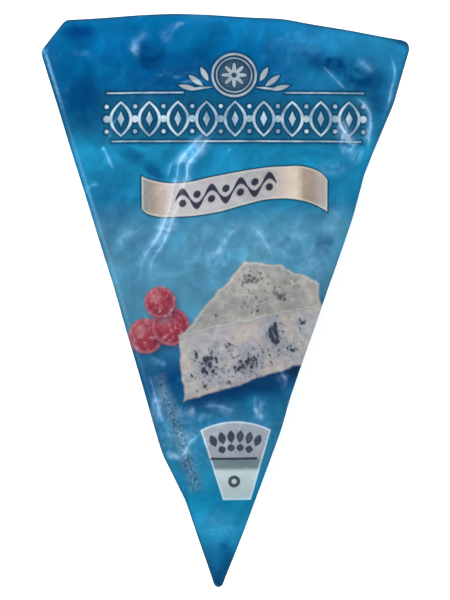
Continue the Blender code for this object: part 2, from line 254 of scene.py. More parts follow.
mouth, mouth_outward = wedge_section(0.0)
mouth_tree = tree_of(closed_curve(mouth, MOUTH_STEP))
print(f"the mouth has {len(mouth)} points and is {step_lengths(mouth).sum():.0f} mm round")

# %% [markdown]
# ## The shape of the lid
# Three things shape the lid film. It is drawn taut from the seal up over the wedge's top edge, in
# one soft slope. The uneven cheese under it gives broad swells and dents. The sealed margin outside
# the mouth has nothing under it, so it waves a little and hangs down towards its edge.
# The sizes are the solid's own, so that the film lies where the solid is. Only the slope starts
# softer here, because taut film bridges the hollow beside an edge.

# %% Heights of the lid
SEAL_TOP = 24.4
CHEESE_TOP = 26.7
LID_SHOULDER = 6.5
SLOPE_START, SLOPE_END = -1.2, 10.0  # millimetres inside the mouth
SEAL_DROOP = 1.3
SEAL_WIDEST = 9.5
DROOP_BEND = 1.5  # above 1, the margin bends down more and more towards its edge
SEAL_WAVE = 0.4
SEAL_STIFF = 3.5
EDGE_CURL = 0.04  # how far the last bit of film turns down at the cut
EDGE_CURL_WIDTH = 0.9

# Waves of the sealed margin: radians per mm along x and y, shift, share of the height.
SEAL_WAVES = (
    (0.15, 0.37, 0.7, 1.0),
    (0.42, -0.20, 2.1, 0.6),
)

# Broad swells and dents: x, y, radius, height.
SWELLS = (
    (-26.0, 40.0, 11.0, -0.55),
    (-9.0, 45.0, 9.0, 0.35),
    (22.0, 34.0, 9.0, -0.45),
    (26.0, 44.0, 7.0, 0.40),
    (-20.0, 22.0, 8.0, 0.35),
    (3.0, 26.0, 10.0, 0.30),
    (16.0, 12.0, 9.0, -0.40),
    (-9.0, -3.0, 8.0, -0.35),
    (7.0, -6.0, 8.0, 0.30),
    (-3.0, -24.0, 7.0, -0.35),
    (2.0, -38.0, 6.0, 0.25),
)


def smoothstep(t):
    """0 below 0, 1 above 1, and a soft climb between them."""
    t = np.clip(t, 0, 1)
    return t * t * (3 - 2 * t)


def swells(places):
    """How much the uneven cheese lifts the film at each place."""
    height = np.zeros(len(places))
    for x, y, radius, rise in SWELLS:
        height += rise * np.exp(-((places - (x, y)) ** 2).sum(1) / radius**2)
    return height


def beyond_mouth(places, depth):
    """Straight distance outside the mouth, and 0 for what lies inside it."""
    gap = [mouth_tree.find((x, y, 0))[2] if d < 0 else 0.0 for (x, y), d in zip(places, depth)]
    return np.array(gap)


def plain_height(places):
    """The lid film without creases and wrinkles, and how far up the shoulder each place is."""
    depth = depth_in_mouth(places)
    climb = np.clip(depth / LID_SHOULDER, 0, 1)
    beyond = beyond_mouth(places, depth)
    x, y = places.T
    wave = sum(share * np.sin(by_x * x + by_y * y + shift) for by_x, by_y, shift, share in SEAL_WAVES)
    slope = smoothstep((depth - SLOPE_START) / (SLOPE_END - SLOPE_START))
    height = SEAL_TOP + (CHEESE_TOP - SEAL_TOP) * slope + swells(places) * climb
    height += SEAL_WAVE * wave * smoothstep(beyond / SEAL_STIFF)
    height -= SEAL_DROOP * (beyond / SEAL_WIDEST) ** DROOP_BEND
    return height, climb


edge_height = plain_height(cut_edge)[0]
print(f"the lid lies {edge_height.min():.1f} to {edge_height.max():.1f} mm high along the cut edge")

# %% [markdown]
# ## The creases
# Film that is handled creases along short lines, and each keeps a crest that catches the light.
# On real printed film the ink also cracks along such a crest and turns whitish. So every crease gives
# three things: a height for the mesh, a whitened line that also carries a painted highlight, and a
# soft painted sheen round it. Sculpting them by hand would be quick, but a script has to give the
# same creases each time. So a crease is a row of a table: a name, sizes, and a route through a few
# points. A pair of crests side by side is one crease with a twin gap.

# %% Where the creases run
# Name, crest height, half width, gap between twin crests, whitening with painted highlight, painted sheen
# round it, route.
CREASES = (
    ("long S crease", 0.32, 1.3, 1.9, 0.90, 0.44,
     ((-1.8, 38.4), (-4.0, 34.4), (-8.4, 28.6), (-9.3, 24.8), (-12.2, 15.4), (-15.6, 8.9), (-17.2, 2.6))),
    ("short crease by the S", 0.29, 1.2, 0.0, 0.55, 0.10,
     ((-11.0, 28.9), (-12.3, 25.2))),
    ("rind crease, upper", 0.43, 1.5, 0.0, 0.62, 0.08,
     ((19.2, 49.6), (22.0, 47.1), (25.4, 43.2))),
    ("rind crease, lower", 0.54, 2.0, 0.0, 0.76, 0.20,
     ((25.6, 43.6), (28.9, 40.9), (30.3, 36.6), (29.6, 30.4))),
    ("upper pucker", 0.26, 1.6, 0.0, 0.38, 0.42,
     ((27.0, 51.0), (28.9, 49.4), (31.6, 47.2))),
    ("right edge crease", 0.36, 1.7, 0.0, 0.70, 0.12,
     ((33.9, 52.4), (35.2, 47.8), (34.3, 43.4), (32.6, 37.0))),
    ("rind pucker", 0.34, 1.7, 0.0, 0.18, 0.34,
     ((-19.2, 50.2), (-18.6, 54.2), (-15.4, 56.2))),
    ("rind nick", 0.28, 1.4, 1.1, 0.18, 0.20,
     ((-13.8, 53.6), (-9.8, 58.0))),
    ("left crease", 0.36, 1.2, 0.0, 0.60, 0.12,
     ((-25.9, 32.6), (-22.9, 26.9))),
    ("left pucker", 0.29, 1.2, 0.0, 0.62, 0.22,
     ((-29.0, 21.6), (-28.2, 24.0), (-25.9, 24.3))),
    ("middle pucker, left", 0.30, 2.2, 0.0, 0.42, 0.28,
     ((-4.3, 6.8), (0.4, 12.9), (4.0, 16.4))),
    ("middle pucker, right", 0.36, 2.2, 0.0, 0.48, 0.26,
     ((4.6, 16.0), (7.4, 13.4), (10.4, 8.2))),
    ("left hollow's rim", 0.25, 2.0, 0.0, 0.36, 0.24,
     ((-21.9, 10.4), (-21.2, 13.6), (-17.4, 14.8))),
    ("lower left crease", 0.36, 1.5, 0.0, 0.54, 0.22,
     ((-16.2, -14.4), (-14.9, -19.5), (-12.4, -27.4))),
    ("lower right crease", 0.36, 1.2, 0.0, 0.48, 0.28,
     ((7.4, -19.4), (7.8, -26.0))),
    ("lower cross crease", 0.25, 1.4, 0.0, 0.40, 0.22,
     ((-6.2, -22.4), (-1.4, -22.0), (2.6, -23.4))),
    ("neck crease", 0.32, 1.2, 0.0, 0.62, 0.42,
     ((-9.0, -34.0), (-7.2, -29.4), (-3.8, -26.8))),
)
print(f"{len(CREASES)} creases, the highest of them {max(row[1] for row in CREASES):.2f} mm")

# %% [markdown]
# The route of a crease is a smooth curve through its points, but no real crease runs that cleanly.
# Noise makes it stray a little, and it lets the gap between twin crests come and go.

# %% Lines of the crests
CREASE_STEP = 0.35
CREASE_WANDER = 0.5  # how far a crest strays from its smooth route
WANDER_WAVELENGTH = 5.5
TWIN_UNEVEN = 0.45  # how much the gap between twin crests comes and goes


def smooth_route(points, step):
    """A smooth curve through points, read every step or so."""
    points = np.asarray(points, float)
    ends = np.concatenate([[2 * points[0] - points[1]], points, [2 * points[-1] - points[-2]]])
    out = []
    for a, b, c, d in zip(ends, ends[1:], ends[2:], ends[3:]):
        count = max(2, round(float(np.linalg.norm(c - b)) / step))
        t = (np.arange(count) / count)[:, None]
        out.append(between(a, b, c, d, t))
    return np.concatenate(out + [points[-1:]])


def rough(places, wavelength, seed):
    """Smooth noise between about -1 and 1 with that wavelength."""
    return np.array([noise.noise((x, y, seed)) for x, y in places / wavelength])


def beside(route, offset):
    """A route moved sideways, by one offset or by one for each of its points."""
    run = np.gradient(route, axis=0)
    across = np.stack([-run[:, 1], run[:, 0]], 1) / np.linalg.norm(run, axis=1)[:, None]
    return route + across * np.reshape(offset, (-1, 1))


def crease_lines(points, twin):
    """The middle line of a crease, and the lines of its one or two crests."""
    middle = smooth_route(points, CREASE_STEP)
    stray = np.stack([rough(middle, WANDER_WAVELENGTH, seed) for seed in (57.0, 58.0)], 1)
    middle = middle + CREASE_WANDER * stray
    if twin == 0:
        return middle, [middle]
    half_gap = twin / 2 * (1 + TWIN_UNEVEN * rough(middle, 2 * WANDER_WAVELENGTH, 60.0))
    return middle, [beside(middle, -half_gap), beside(middle, half_gap)]


crease_length = sum(step_lengths(crease_lines(points, 0.0)[0]).sum() for *_, points in CREASES)
print(f"the creases are {crease_length:.0f} mm long together")

# %% [markdown]
# A folded film meets in a sharp crest and sags beside it, like a tent along its ridge, so the flanks
# of a crest are hollow. Height, whitening with its painted highlight, and painted sheen all depend on
# how far a place lies from the line, and all three die out towards both ends of the crease.

# %% Height, painted sheen and whitening with painted highlight of the creases
CREASE_END = 0.3  # the share of its length over which a crease dies out, at each end
CREST_RADIUS = 0.2  # how round a crest is
HOLLOW_FLANK = 1.5  # above 1, the flanks of a crest are hollow
CREASE_UNEVEN = 0.3  # how much height and whitening come and go along a crease
UNEVEN_WAVELENGTH = 3.0
# The haze round a crease is a painted sheen.
SHEEN_REACH = 1.2  # how far the haze round a crease spreads
FAR_FROM_CREASE = 9.0


def nearest_on(route, places):
    """For each place, its distance to a route and how far along the route that is, from 0 to 1."""
    best, along = np.full(len(places), np.inf), np.zeros(len(places))
    for i, (a, b) in enumerate(zip(route, route[1:])):
        run = b - a
        t = np.clip(((places - a) @ run) / (run @ run), 0, 1)
        gap = np.linalg.norm(places - a - t[:, None] * run, axis=1)
        closer = gap < best
        best[closer] = gap[closer]
        along[closer] = (i + t[closer]) / (len(route) - 1)
    return best, along


def patchy(places, wavelength, seed, middle, contrast):
    """Where something shows and where it doesn't: noise round a middle value, kept within 0 and 1."""
    return np.clip(middle + contrast * rough(places, wavelength, seed), 0, 1)


def dying_out(along):
    """1 along most of a crease and 0 at both of its ends."""
    return smoothstep(np.minimum(along, 1 - along) / CREASE_END)


def crease_fields(places):
    """Height and painted sheen of the creases, distance to the nearest crest and its whitening with
    painted highlight.
    """
    height, white, painted_sheen = np.zeros((3, len(places)))
    to_crest = np.full(len(places), FAR_FROM_CREASE)
    for _, crest, half_width, twin, white_and_highlight, sheen_round, points in CREASES:
        middle, crests = crease_lines(points, twin)
        reach = twin + half_width + 2 * SHEEN_REACH
        near = np.flatnonzero(((places > middle.min(0) - reach) & (places < middle.max(0) + reach)).all(1))
        uneven = 1 - CREASE_UNEVEN * patchy(places[near], UNEVEN_WAVELENGTH, 59.0, 0.5, -1.3)
        for line in crests:
            gap, along = nearest_on(line, places[near])
            fade = dying_out(along) * uneven
            off_crest = np.hypot(gap, CREST_RADIUS) - CREST_RADIUS
            flank = np.clip(1 - off_crest / half_width, 0, 1)
            height[near] = np.maximum(height[near], crest * flank**HOLLOW_FLANK * fade)
            closer = gap < to_crest[near]
            to_crest[near[closer]] = gap[closer]
            # The whitened line along a crest is partly a painted highlight.
            white[near[closer]] = (white_and_highlight * fade)[closer]
        gap, along = nearest_on(middle, places[near])
        cloud = np.exp(-((np.clip(gap - twin / 2, 0, None) / SHEEN_REACH) ** 2))
        # Painted sheen round the crease.
        painted_sheen[near] = np.maximum(painted_sheen[near], sheen_round * cloud * dying_out(along) * uneven)
    return height, painted_sheen, to_crest, white


sample = crease_lines(CREASES[0][-1], CREASES[0][3])[1][0]
print(f"the {CREASES[0][0]} stands up to {crease_fields(sample)[0].max():.2f} mm above the plain lid")

# %% [markdown]
# ## Facets between the creases
# Between the creases the film is never flat. Smooth noise alone looks like a soft blanket, because
# film cannot stretch: it breaks into facets that meet in narrow ridges. Points scattered over the
# film give such facets, when each place belongs to the point nearest to it. Their borders, bent by
# noise, are the ridges, and each facet gets its own painted light and shade, lighter on some facets
# and darker on others. Small puckers run between them, along the lines where a smooth noise changes
# its sign, and a painted highlight follows those lines.

# %% Facets and the ridges between them
# Size of a facet, height of its ridges, half width of a ridge, seed.
FACETS = (
    (9.0, 0.36, 1.5, 3.0),
    (4.2, 0.16, 0.8, 11.0),
)
FACET_BEND = 0.45  # how far noise bends a border, as a share of the facet's size
# A facet's tone is painted light and shade, random for each facet.
TONE_SPREAD = 5.3  # how differently two neighbouring facets are toned
SOFT_WAVES = ((10.0, 0.30, 5.0), (3.4, 0.12, 29.0), (1.5, 0.035, 23.0))  # wavelength, height, seed
PUCKERS = ((7.5, 0.30, 61.0), (3.6, 0.15, 67.0))  # wavelength, height, seed
PUCKER_SHARP = 4.5  # the larger, the narrower a pucker
HOLLOW_PUCKER = 1.4  # above 1, its flanks are hollow too
# The line of a pucker is where its painted highlight lies.
WEB_NARROW = 3  # the power that leaves only the very line of a pucker
SHOWN_WAVELENGTH = 2.2  # ridges and puckers show here and there, in patches so many sizes wide
RIDGES_SHOWN = (0.45, 1.5)  # middle and contrast of those patches
PUCKERS_SHOWN = (0.35, 1.8)


def facets(places, size, seed):
    """Millimetres to the border of the facet at each place, and the facet's own number."""
    bend = [rough(places, 1.3 * size, seed + shift) for shift in (0.3, 0.6)]
    border, own = [], []
    for x, y in places / size + FACET_BEND * np.stack(bend, 1):
        distances, centres = noise.voronoi((x, y, seed))
        border.append((distances[1] - distances[0]) * size / 2)
        own.append(noise.noise(centres[0] * TONE_SPREAD))
    return np.array(border), np.array(own)


def wrinkles(places):
    """Height of the wrinkles, painted highlight along the puckers and painted light and shade of the
    facets.
    """
    height, web, tone = np.zeros((3, len(places)))
    for size, rise, half_width, seed in FACETS:
        border, own = facets(places, size, seed)
        shown = patchy(places, SHOWN_WAVELENGTH * size, seed + 0.9, *RIDGES_SHOWN)
        ridge = np.clip(1 - border / half_width, 0, 1)
        height += rise * ridge**HOLLOW_FLANK * shown
        tone += own * smoothstep(border / half_width)
    for wavelength, rise, seed in SOFT_WAVES:
        height += rise * rough(places, wavelength, seed)
    for wavelength, rise, seed in PUCKERS:
        shown = patchy(places, SHOWN_WAVELENGTH * wavelength, seed + 0.5, *PUCKERS_SHOWN)
        ridge = np.clip(1 - PUCKER_SHARP * abs(rough(places, wavelength, seed)), 0, 1)
        height += rise * ridge**HOLLOW_PUCKER * shown
        web = np.maximum(web, ridge**WEB_NARROW * shown)
    return height, web, tone


print("facets of", " and ".join(f"{row[0]:.1f} mm" for row in FACETS), "across")

# %% [markdown]
# ## Light and dark fields of the film
# The print isn't one even blue. It runs from royal blue at the rind through cyan to a steel blue in
# the middle, which also holds painted sheen. Over it go cloudy light patches of painted sheen and deep
# patches of painted shade, a few of them darker print. These could be painted on by hand, but a soft
# ellipse for each, with an edge that noise bends, is easier to move and to weaken. They come before
# the mesh, because the wrinkles are made lower in the deep patches.

# %% Soft patches and their edges
# Patches of painted sheen, then deep patches of painted shade, a few of them darker print.
# x, y, half length, half width, turn in degrees, strength.
SHEEN_PATCHES = (
    (-30.2, 52.3, 3.0, 1.1, 8, 0.16),
    (-36.0, 50.0, 2.2, 5.0, 15, 0.08),
    (-18.8, 51.6, 1.0, 1.8, 10, 0.22),
    (-16.6, 41.5, 1.6, 3.0, 0, 0.10),
    (25.6, 32.8, 2.0, 3.8, 5, 0.62),
    (29.6, 35.6, 1.0, 3.4, -6, 0.25),
    (-5.4, 31.6, 2.4, 1.6, 30, 0.25),
    (-14.5, 22.0, 2.2, 2.6, 20, 0.12),
    (2.0, 9.0, 20.0, 9.0, 0, 0.13),
    (-12.0, 8.5, 9.0, 7.0, 40, 0.04),
    (14.2, 13.2, 4.4, 3.6, 0, 0.22),
    (-20.0, 12.6, 3.4, 1.5, 60, 0.08),
    (-11.2, 5.6, 3.6, 1.3, 12, 0.20),
    (-1.0, 8.6, 3.6, 2.2, 20, 0.24),
    (0.9, 15.4, 2.0, 2.0, 0, 0.18),
    (12.0, -16.6, 1.2, 2.2, -10, 0.42),
    (-15.0, -12.6, 1.3, 1.1, -35, 0.34),
    (-14.2, -22.6, 1.0, 3.6, -15, 0.26),
    (-4.0, -23.8, 2.2, 1.2, 0, 0.30),
    (6.6, -23.2, 0.9, 2.4, 0, 0.38),
    (-11.2, -32.2, 2.8, 1.2, -14, 0.60),
    (-7.6, -28.4, 2.4, 1.2, 25, 0.38),
    (2.0, -32.0, 14.0, 8.0, 0, 0.10),
    (-1.8, -46.8, 3.4, 3.6, 0, 0.19),
    (-10.3, 57.2, 1.9, 1.0, 55, 0.40),
    (-12.8, -21.4, 1.8, 3.0, -15, 0.26),
    (-8.2, -23.6, 2.6, 2.0, 0, 0.38),
    (22.0, 27.2, 3.0, 2.4, 0, 0.22),
    (15.0, 53.4, 7.0, 4.0, 0, 0.13),
    (9.5, 16.8, 4.0, 2.4, 0, 0.12),
    (-13.4, -37.0, 1.6, 3.4, -25, 0.12),
    (-23.6, 20.0, 1.0, 3.0, -18, 0.10),
    (18.0, 8.0, 4.0, 6.0, 0, 0.20),
    (22.4, 17.0, 1.8, 4.0, -15, 0.22),
    (12.0, 12.0, 5.0, 4.0, 0, 0.20),
    (3.0, -27.0, 16.0, 5.0, 0, 0.16),
    (-12.4, -27.2, 2.6, 5.0, -20, 0.29),
    (14.0, -22.0, 2.0, 5.0, 10, 0.16),
)
DARK_PATCHES = (
    (-30.8, 56.0, 4.6, 2.0, -8, 0.55),
    (-23.4, 52.4, 3.4, 3.2, 0, 0.30),
    (-19.8, 43.0, 2.6, 2.2, 0, 0.50),
    (-14.7, 45.6, 4.2, 2.0, 0, 0.60),
    (-16.4, 50.8, 2.4, 2.8, 0, 0.86),
    (-6.0, 49.6, 5.2, 2.8, 0, 0.57),
    (-28.4, 41.0, 4.6, 5.4, 0, 0.80),
    (-13.0, 38.5, 6.0, 5.0, 0, 0.40),
    (-16.0, 50.0, 2.6, 2.2, 0, 1.0),
    (-22.0, 38.6, 3.4, 4.0, 0, 0.5),
    (-11.5, 47.2, 4.6, 2.4, 0, 0.5),
    (37.0, 53.6, 2.8, 1.7, -30, 0.9),
    (24.0, 48.6, 8.4, 2.8, -14, 0.92),
    (28.6, 46.4, 6.0, 3.4, 0, 0.85),
    (31.6, 43.6, 2.6, 5.0, 6, 0.72),
    (10.0, 38.0, 16.0, 5.5, 0, 0.34),
    (18.0, 30.6, 4.0, 1.0, 0, 0.40),
    (-19.8, 29.6, 3.4, 1.5, -32, 0.63),
    (-14.6, 27.2, 2.9, 1.5, -30, 0.75),
    (-22.5, 19.5, 4.6, 4.4, 0, 0.40),
    (-12.0, 12.5, 6.5, 5.0, 0, 0.18),
    (20.9, 11.2, 1.0, 4.8, -8, 0.46),
    (-11.8, -15.6, 3.2, 3.4, 0, 0.80),
    (6.0, -18.4, 8.4, 2.0, 14, 0.86),
    (20.2, 1.0, 1.2, 3.2, -8, 0.55),
    (14.4, -15.2, 1.6, 2.0, 0, 0.80),
    (4.0, -45.6, 1.8, 3.4, -15, 0.23),
    (-7.4, -35.4, 2.4, 3.0, 0, 0.32),
    (0.6, -53.6, 1.8, 4.0, 0, 0.65),
    (-1.6, -58.0, 2.4, 2.2, 0, 0.7),
)
PATCH_WARP = 2.2  # how far noise bends a patch's edge
WARP_WAVELENGTH = 5.5
WARP_SHARES = (1.0, 0.35)  # long waves, and shorter ones that bend less
PATCH_FLAT = 1.5  # above 1, a patch is flat in its middle and falls off faster at its edge


def warped(places):
    """The places, each shifted by smooth noise in long waves and in short ones."""
    for share in WARP_SHARES:
        shift = [rough(places, share * WARP_WAVELENGTH, seed) for seed in (41.0, 47.0)]
        places = places + share * PATCH_WARP * np.stack(shift, 1)
    return places


def patch_field(places, patches):
    """The strongest of all soft patches at each place."""
    field = np.zeros(len(places))
    for x, y, half_length, half_width, turn, strength in patches:
        offset = places - (x, y)
        angle = math.radians(turn)
        along = offset @ (math.cos(angle), math.sin(angle)) / half_length
        across = offset @ (-math.sin(angle), math.cos(angle)) / half_width
        field = np.maximum(field, strength * np.exp(-((along**2 + across**2) ** PATCH_FLAT)))
    return field


print(f"{len(SHEEN_PATCHES)} hazy patches and {len(DARK_PATCHES)} deep ones")

# %% [markdown]
# ## The lid's mesh
# The lid could be a grid pushed into shape, but a grid has stairs along a slanted edge and along
# slanted creases. Triangles can be laid over any points instead, so rows of points follow the cut
# edge and every crest, and an even lattice fills the rest. The lattice starts as a full rectangle,
# and what lies outside the cut edge is taken away.

# %% A lattice inside an outline
LATTICE = 0.38


def farther_than(places, tree, gap):
    """Only the places that keep a gap from everything in a tree."""
    return places[[tree.find((x, y, 0))[2] > gap for x, y in places]]


def is_inside(places, loop):
    """Which places lie inside a closed loop, by counting the sides crossed on the way out."""
    x, y = places.T
    odd = np.zeros(len(places), bool)
    for a, b in zip(loop, np.roll(loop, -1, axis=0)):
        rows = np.flatnonzero((a[1] > y) != (b[1] > y))
        odd[rows] ^= x[rows] < (b[0] - a[0]) * (y[rows] - a[1]) / (b[1] - a[1]) + a[0]
    return odd


def lattice_inside(loop, spacing):
    """The corners of even triangles, wherever they lie inside a loop."""
    low, high = loop.min(0), loop.max(0)
    levels = np.arange(low[1], high[1], spacing * math.sin(math.radians(60)))
    rows = [
        np.stack(np.broadcast_arrays(np.arange(low[0] + (n % 2) * spacing / 2, high[0], spacing), y), 1)
        for n, y in enumerate(levels)
    ]
    places = np.concatenate(rows)
    return places[is_inside(places, loop)]


lattice = lattice_inside(cut_edge, LATTICE)
print(f"a lattice of {LATTICE} mm has {len(lattice)} points inside the cut edge")

# %% [markdown]
# A crest is only sharp where the mesh has points right on it, and more of them close on both sides.
# Rows of points beside the cut edge let the last bit of film turn down. Where rows of two creases
# meet they would crowd, so a point too close to an earlier one is left out.

# %% Rows of points along the crests and the cut
EDGE_ROWS = (0.07, 0.22, 0.45)  # how far inside the cut edge each row lies
EDGE_CLEAR = 0.72  # all other points stay that far inside the cut edge
ROWS_BY_CREST = (0.0, -0.22, 0.22, -0.5, 0.5)
ROW_CLEAR = 0.18  # the least gap between the crests' points, and from them to the lattice


def rows_along_creases():
    """Rows of points on every crest and on both sides of it."""
    rows = []
    for _, _, _, twin, _, _, points in CREASES:
        for line in crease_lines(points, twin)[1]:
            rows += [beside(line, offset) for offset in ROWS_BY_CREST]
    return np.concatenate(rows)


def thinned(places, gap):
    """The places in their order, without any that comes closer than gap to one kept before."""
    taken, kept = {}, []
    for place in places:
        cell = (math.floor(place[0] / gap), math.floor(place[1] / gap))
        around = [taken.get((cell[0] + i, cell[1] + j)) for i in (-1, 0, 1) for j in (-1, 0, 1)]
        if all(other is None or np.hypot(*(other - place)) > gap for other in around):
            taken[cell] = place
            kept.append(place)
    return np.array(kept)


edge_tree = tree_of(cut_edge)
edge_rows = [cut_edge + edge_inward * row for row in EDGE_ROWS]
crest_rows = rows_along_creases()
crest_rows = thinned(crest_rows[is_inside(crest_rows, cut_edge)], ROW_CLEAR)
crest_rows = farther_than(crest_rows, edge_tree, EDGE_CLEAR)
filling = farther_than(lattice, edge_tree, EDGE_CLEAR)
filling = farther_than(filling, tree_of(crest_rows), ROW_CLEAR)
lid_places = np.concatenate([cut_edge, *edge_rows, crest_rows, filling])
print(f"{len(crest_rows)} points lie along the crests, and {len(filling)} fill the rest")

# %% [markdown]
# Blender can lay plump triangles over any points and keep to a given rim. It numbers its points
# anew, so the triangles are put back into the numbers that went in. Slivers between the rim's own
# points are left out.

# %% Triangles over all points
INSIDE_THE_RIM = 1  # how the triangulation is told to keep to the rim
SAME_POINT = 1e-6  # points closer than that are one
NO_AREA = 1e-5  # thinner slivers are dropped


def triangles_inside(places, rim_count):
    """Triangles over all places, inside the closed rim that the first rim_count of them make."""
    rim = [(i, (i + 1) % rim_count) for i in range(rim_count)]
    points = [Vector(place) for place in places]
    found = delaunay_2d_cdt(points, rim, [], INSIDE_THE_RIM, SAME_POINT, True)
    went_in_as = np.array([source[0] for source in found[3]])
    faces = went_in_as[np.array(found[2])]
    a, b, c = (places[faces[:, k]] for k in range(3))
    twice_area = (b - a)[:, 0] * (c - a)[:, 1] - (b - a)[:, 1] * (c - a)[:, 0]
    faces = faces[twice_area > NO_AREA]
    return faces[is_inside(places[faces].mean(1), places[:rim_count])]


lid_faces = triangles_inside(lid_places, len(cut_edge))
print(f"the lid's upper side has {len(lid_places)} points and {len(lid_faces)} triangles")

# %% [markdown]
# Now each point gets its height: the plain film, and on it the creases and the wrinkles. Wrinkles
# aren't wanted everywhere. They are lower in the deep patches of painted shade, a crest pulls the film
# beside it taut, and on the stiff sealed margin everything is lower and dies out towards the cut.

# %% Heights of the lid's points
CALM_MARGIN = 2.2  # creases and wrinkles die out over that much film beside the cut
CREASE_ON_SEAL = 0.55  # creases are lower on the stiff sealed margin
WRINKLE_ON_SEAL = 0.45
# How much of its wrinkles the film loses in the deep patches.
CALM_IN_DEEP_PATCHES = 0.7  # how much of its wrinkles the film loses where it clings to the cheese
CREST_CALM = 0.85  # and how much beside a crest, which pulls it taut
CREST_CALM_REACH = 1.7

plain, lid_climb = plain_height(lid_places)
crease_rise, crease_sheen, crest_gap, crest_white_and_highlight = crease_fields(lid_places)
wrinkle_rise, pucker_highlight, facet_light_and_shade = wrinkles(lid_places)
bent_places = warped(lid_places)
# Deep patches: painted shade, a few of them darker print.
deep = patch_field(bent_places, DARK_PATCHES)
wrinkle_rise *= 1 - CALM_IN_DEEP_PATCHES * deep
wrinkle_rise *= 1 - CREST_CALM * np.exp(-((crest_gap / CREST_CALM_REACH) ** 2))
from_edge = np.array([edge_tree.find((x, y, 0))[2] for x, y in lid_places])
curl = EDGE_CURL * np.clip(1 - from_edge / EDGE_CURL_WIDTH, 0, 1) ** 2
calm_at_edge = smoothstep(from_edge / CALM_MARGIN)
lid_heights = plain - curl
lid_heights += crease_rise * (CREASE_ON_SEAL + (1 - CREASE_ON_SEAL) * lid_climb) * calm_at_edge
lid_heights += wrinkle_rise * (WRINKLE_ON_SEAL + (1 - WRINKLE_ON_SEAL) * lid_climb) * calm_at_edge
print(f"highest crest {lid_heights.max():.2f} mm, the solid's is {cad_high.z / MM:.2f} mm")

# %% [markdown]
# The lid is a film 0.3 mm thick, so it has an underside too. Nobody sees that side, because the
# pocket lies against it, so a coarse lattice is enough there. It only has to close the film at the
# cut edge and stay under the wrinkled upper side.

# %% The lid's hidden underside
LID_THICK = 0.3
UNDER_LATTICE = 2.6
UNDER_CLEARANCE = 1.1  # how much deeper the hidden underside lies inside the mouth


def coarse_inside(loop):
    """A coarse lattice inside a loop, for a side that nobody sees."""
    return farther_than(lattice_inside(loop, UNDER_LATTICE), edge_tree, UNDER_LATTICE / 2)


under_places = np.concatenate([cut_edge, coarse_inside(cut_edge)])
under_plain, under_climb = plain_height(under_places)
under_heights = under_plain - LID_THICK - UNDER_CLEARANCE * under_climb
under_heights[: len(cut_edge)] -= EDGE_CURL
under_faces = triangles_inside(under_places, len(cut_edge))
print(f"the underside has {len(under_places)} points and {len(under_faces)} triangles")

# %% [markdown]
# Upper side, underside and a band of quads round the cut make one closed shell, as a sheet of film
# is. A solidify modifier would do this too, but it would copy the fine upper side where a coarse one
# is enough.

# %% Close the lid's shell
SMOOTH_ANGLE = 60  # in degrees: film that bends more sharply than that is shaded as an edge


def mesh_piece(name, points, faces):
    """A smooth-shaded mesh object in the pack's frame, from points in millimetres."""
    mesh = bpy.data.meshes.new(name)
    mesh.from_pydata((np.asarray(points) * MM).tolist(), [], faces)
    mesh.shade_smooth()
    mesh.set_sharp_from_angle(angle=math.radians(SMOOTH_ANGLE))
    mesh.validate()
    piece = bpy.data.objects.new(name, mesh)
    bpy.context.scene.collection.objects.link(piece)
    return piece


def ring_band(outer, inner):
    """Quads between two rings of point numbers."""
    return [(a, b, d, c) for a, b, c, d in zip(outer, np.roll(outer, -1), inner, np.roll(inner, -1))]


under_first = len(lid_places)
rim_numbers = np.arange(len(cut_edge))
lid_points = np.concatenate([
    np.column_stack([lid_places, lid_heights]),
    np.column_stack([under_places, under_heights]),
])
lid_polygons = [
    *lid_faces.tolist(),
    *(under_faces[:, ::-1] + under_first).tolist(),
    *[tuple(map(int, quad)) for quad in ring_band(rim_numbers + under_first, rim_numbers)],
]
lid_film = mesh_piece("lid_film", lid_points, lid_polygons)
print(f"lid_film has {len(lid_film.data.polygons)} faces")

# %% [markdown]
# The fields of painted sheen and painted shade are kept on the mesh as attributes, one number for each
# point, so that the material can read them and they stay on the film in every view. The same is done
# for the creases' white lines, which carry painted highlights, for the painted highlights along the
# puckers, for the facets' painted light and shade, and for two lines that the light draws along the
# cut: a dark one of painted shade on the very edge, and on the left a pale painted highlight beside it.

# %% Attributes for the material
def keep_on(piece, name, values):
    """Stores one number for each vertex, under a name that a material can read."""
    numbers = piece.data.attributes.new(name, "FLOAT", "POINT")
    numbers.data.foreach_set("value", np.asarray(values, np.float32))


def keep_on_lid(name, values, below=0.0):
    """The same for the points of the lid's upper side, with one value for all the hidden ones."""
    keep_on(lid_film, name, np.concatenate([values, np.full(len(under_places), below)]))


# Painted sheen, round the creases and in the light patches.
painted_sheen = 1 - (1 - crease_sheen) * (1 - patch_field(bent_places, SHEEN_PATCHES))
keep_on_lid("painted_sheen", painted_sheen)
keep_on_lid("deep", deep)
keep_on_lid("crest_gap", crest_gap, FAR_FROM_CREASE)
keep_on_lid("crest_white_and_highlight", crest_white_and_highlight)
keep_on_lid("pucker_highlight_line", pucker_highlight)
keep_on_lid("facet_light_and_shade", 0.5 + 0.5 * facet_light_and_shade, 0.5)
print(f"haze up to {painted_sheen.max():.2f}, on average {painted_sheen.mean():.2f}")

# %% Lines along the cut
RIM_WIDTH = 0.75  # of the dark line along the cut
RIM_LIGHT_AT, RIM_LIGHT_HALF = 0.9, 0.25  # the pale line beside it, on the left
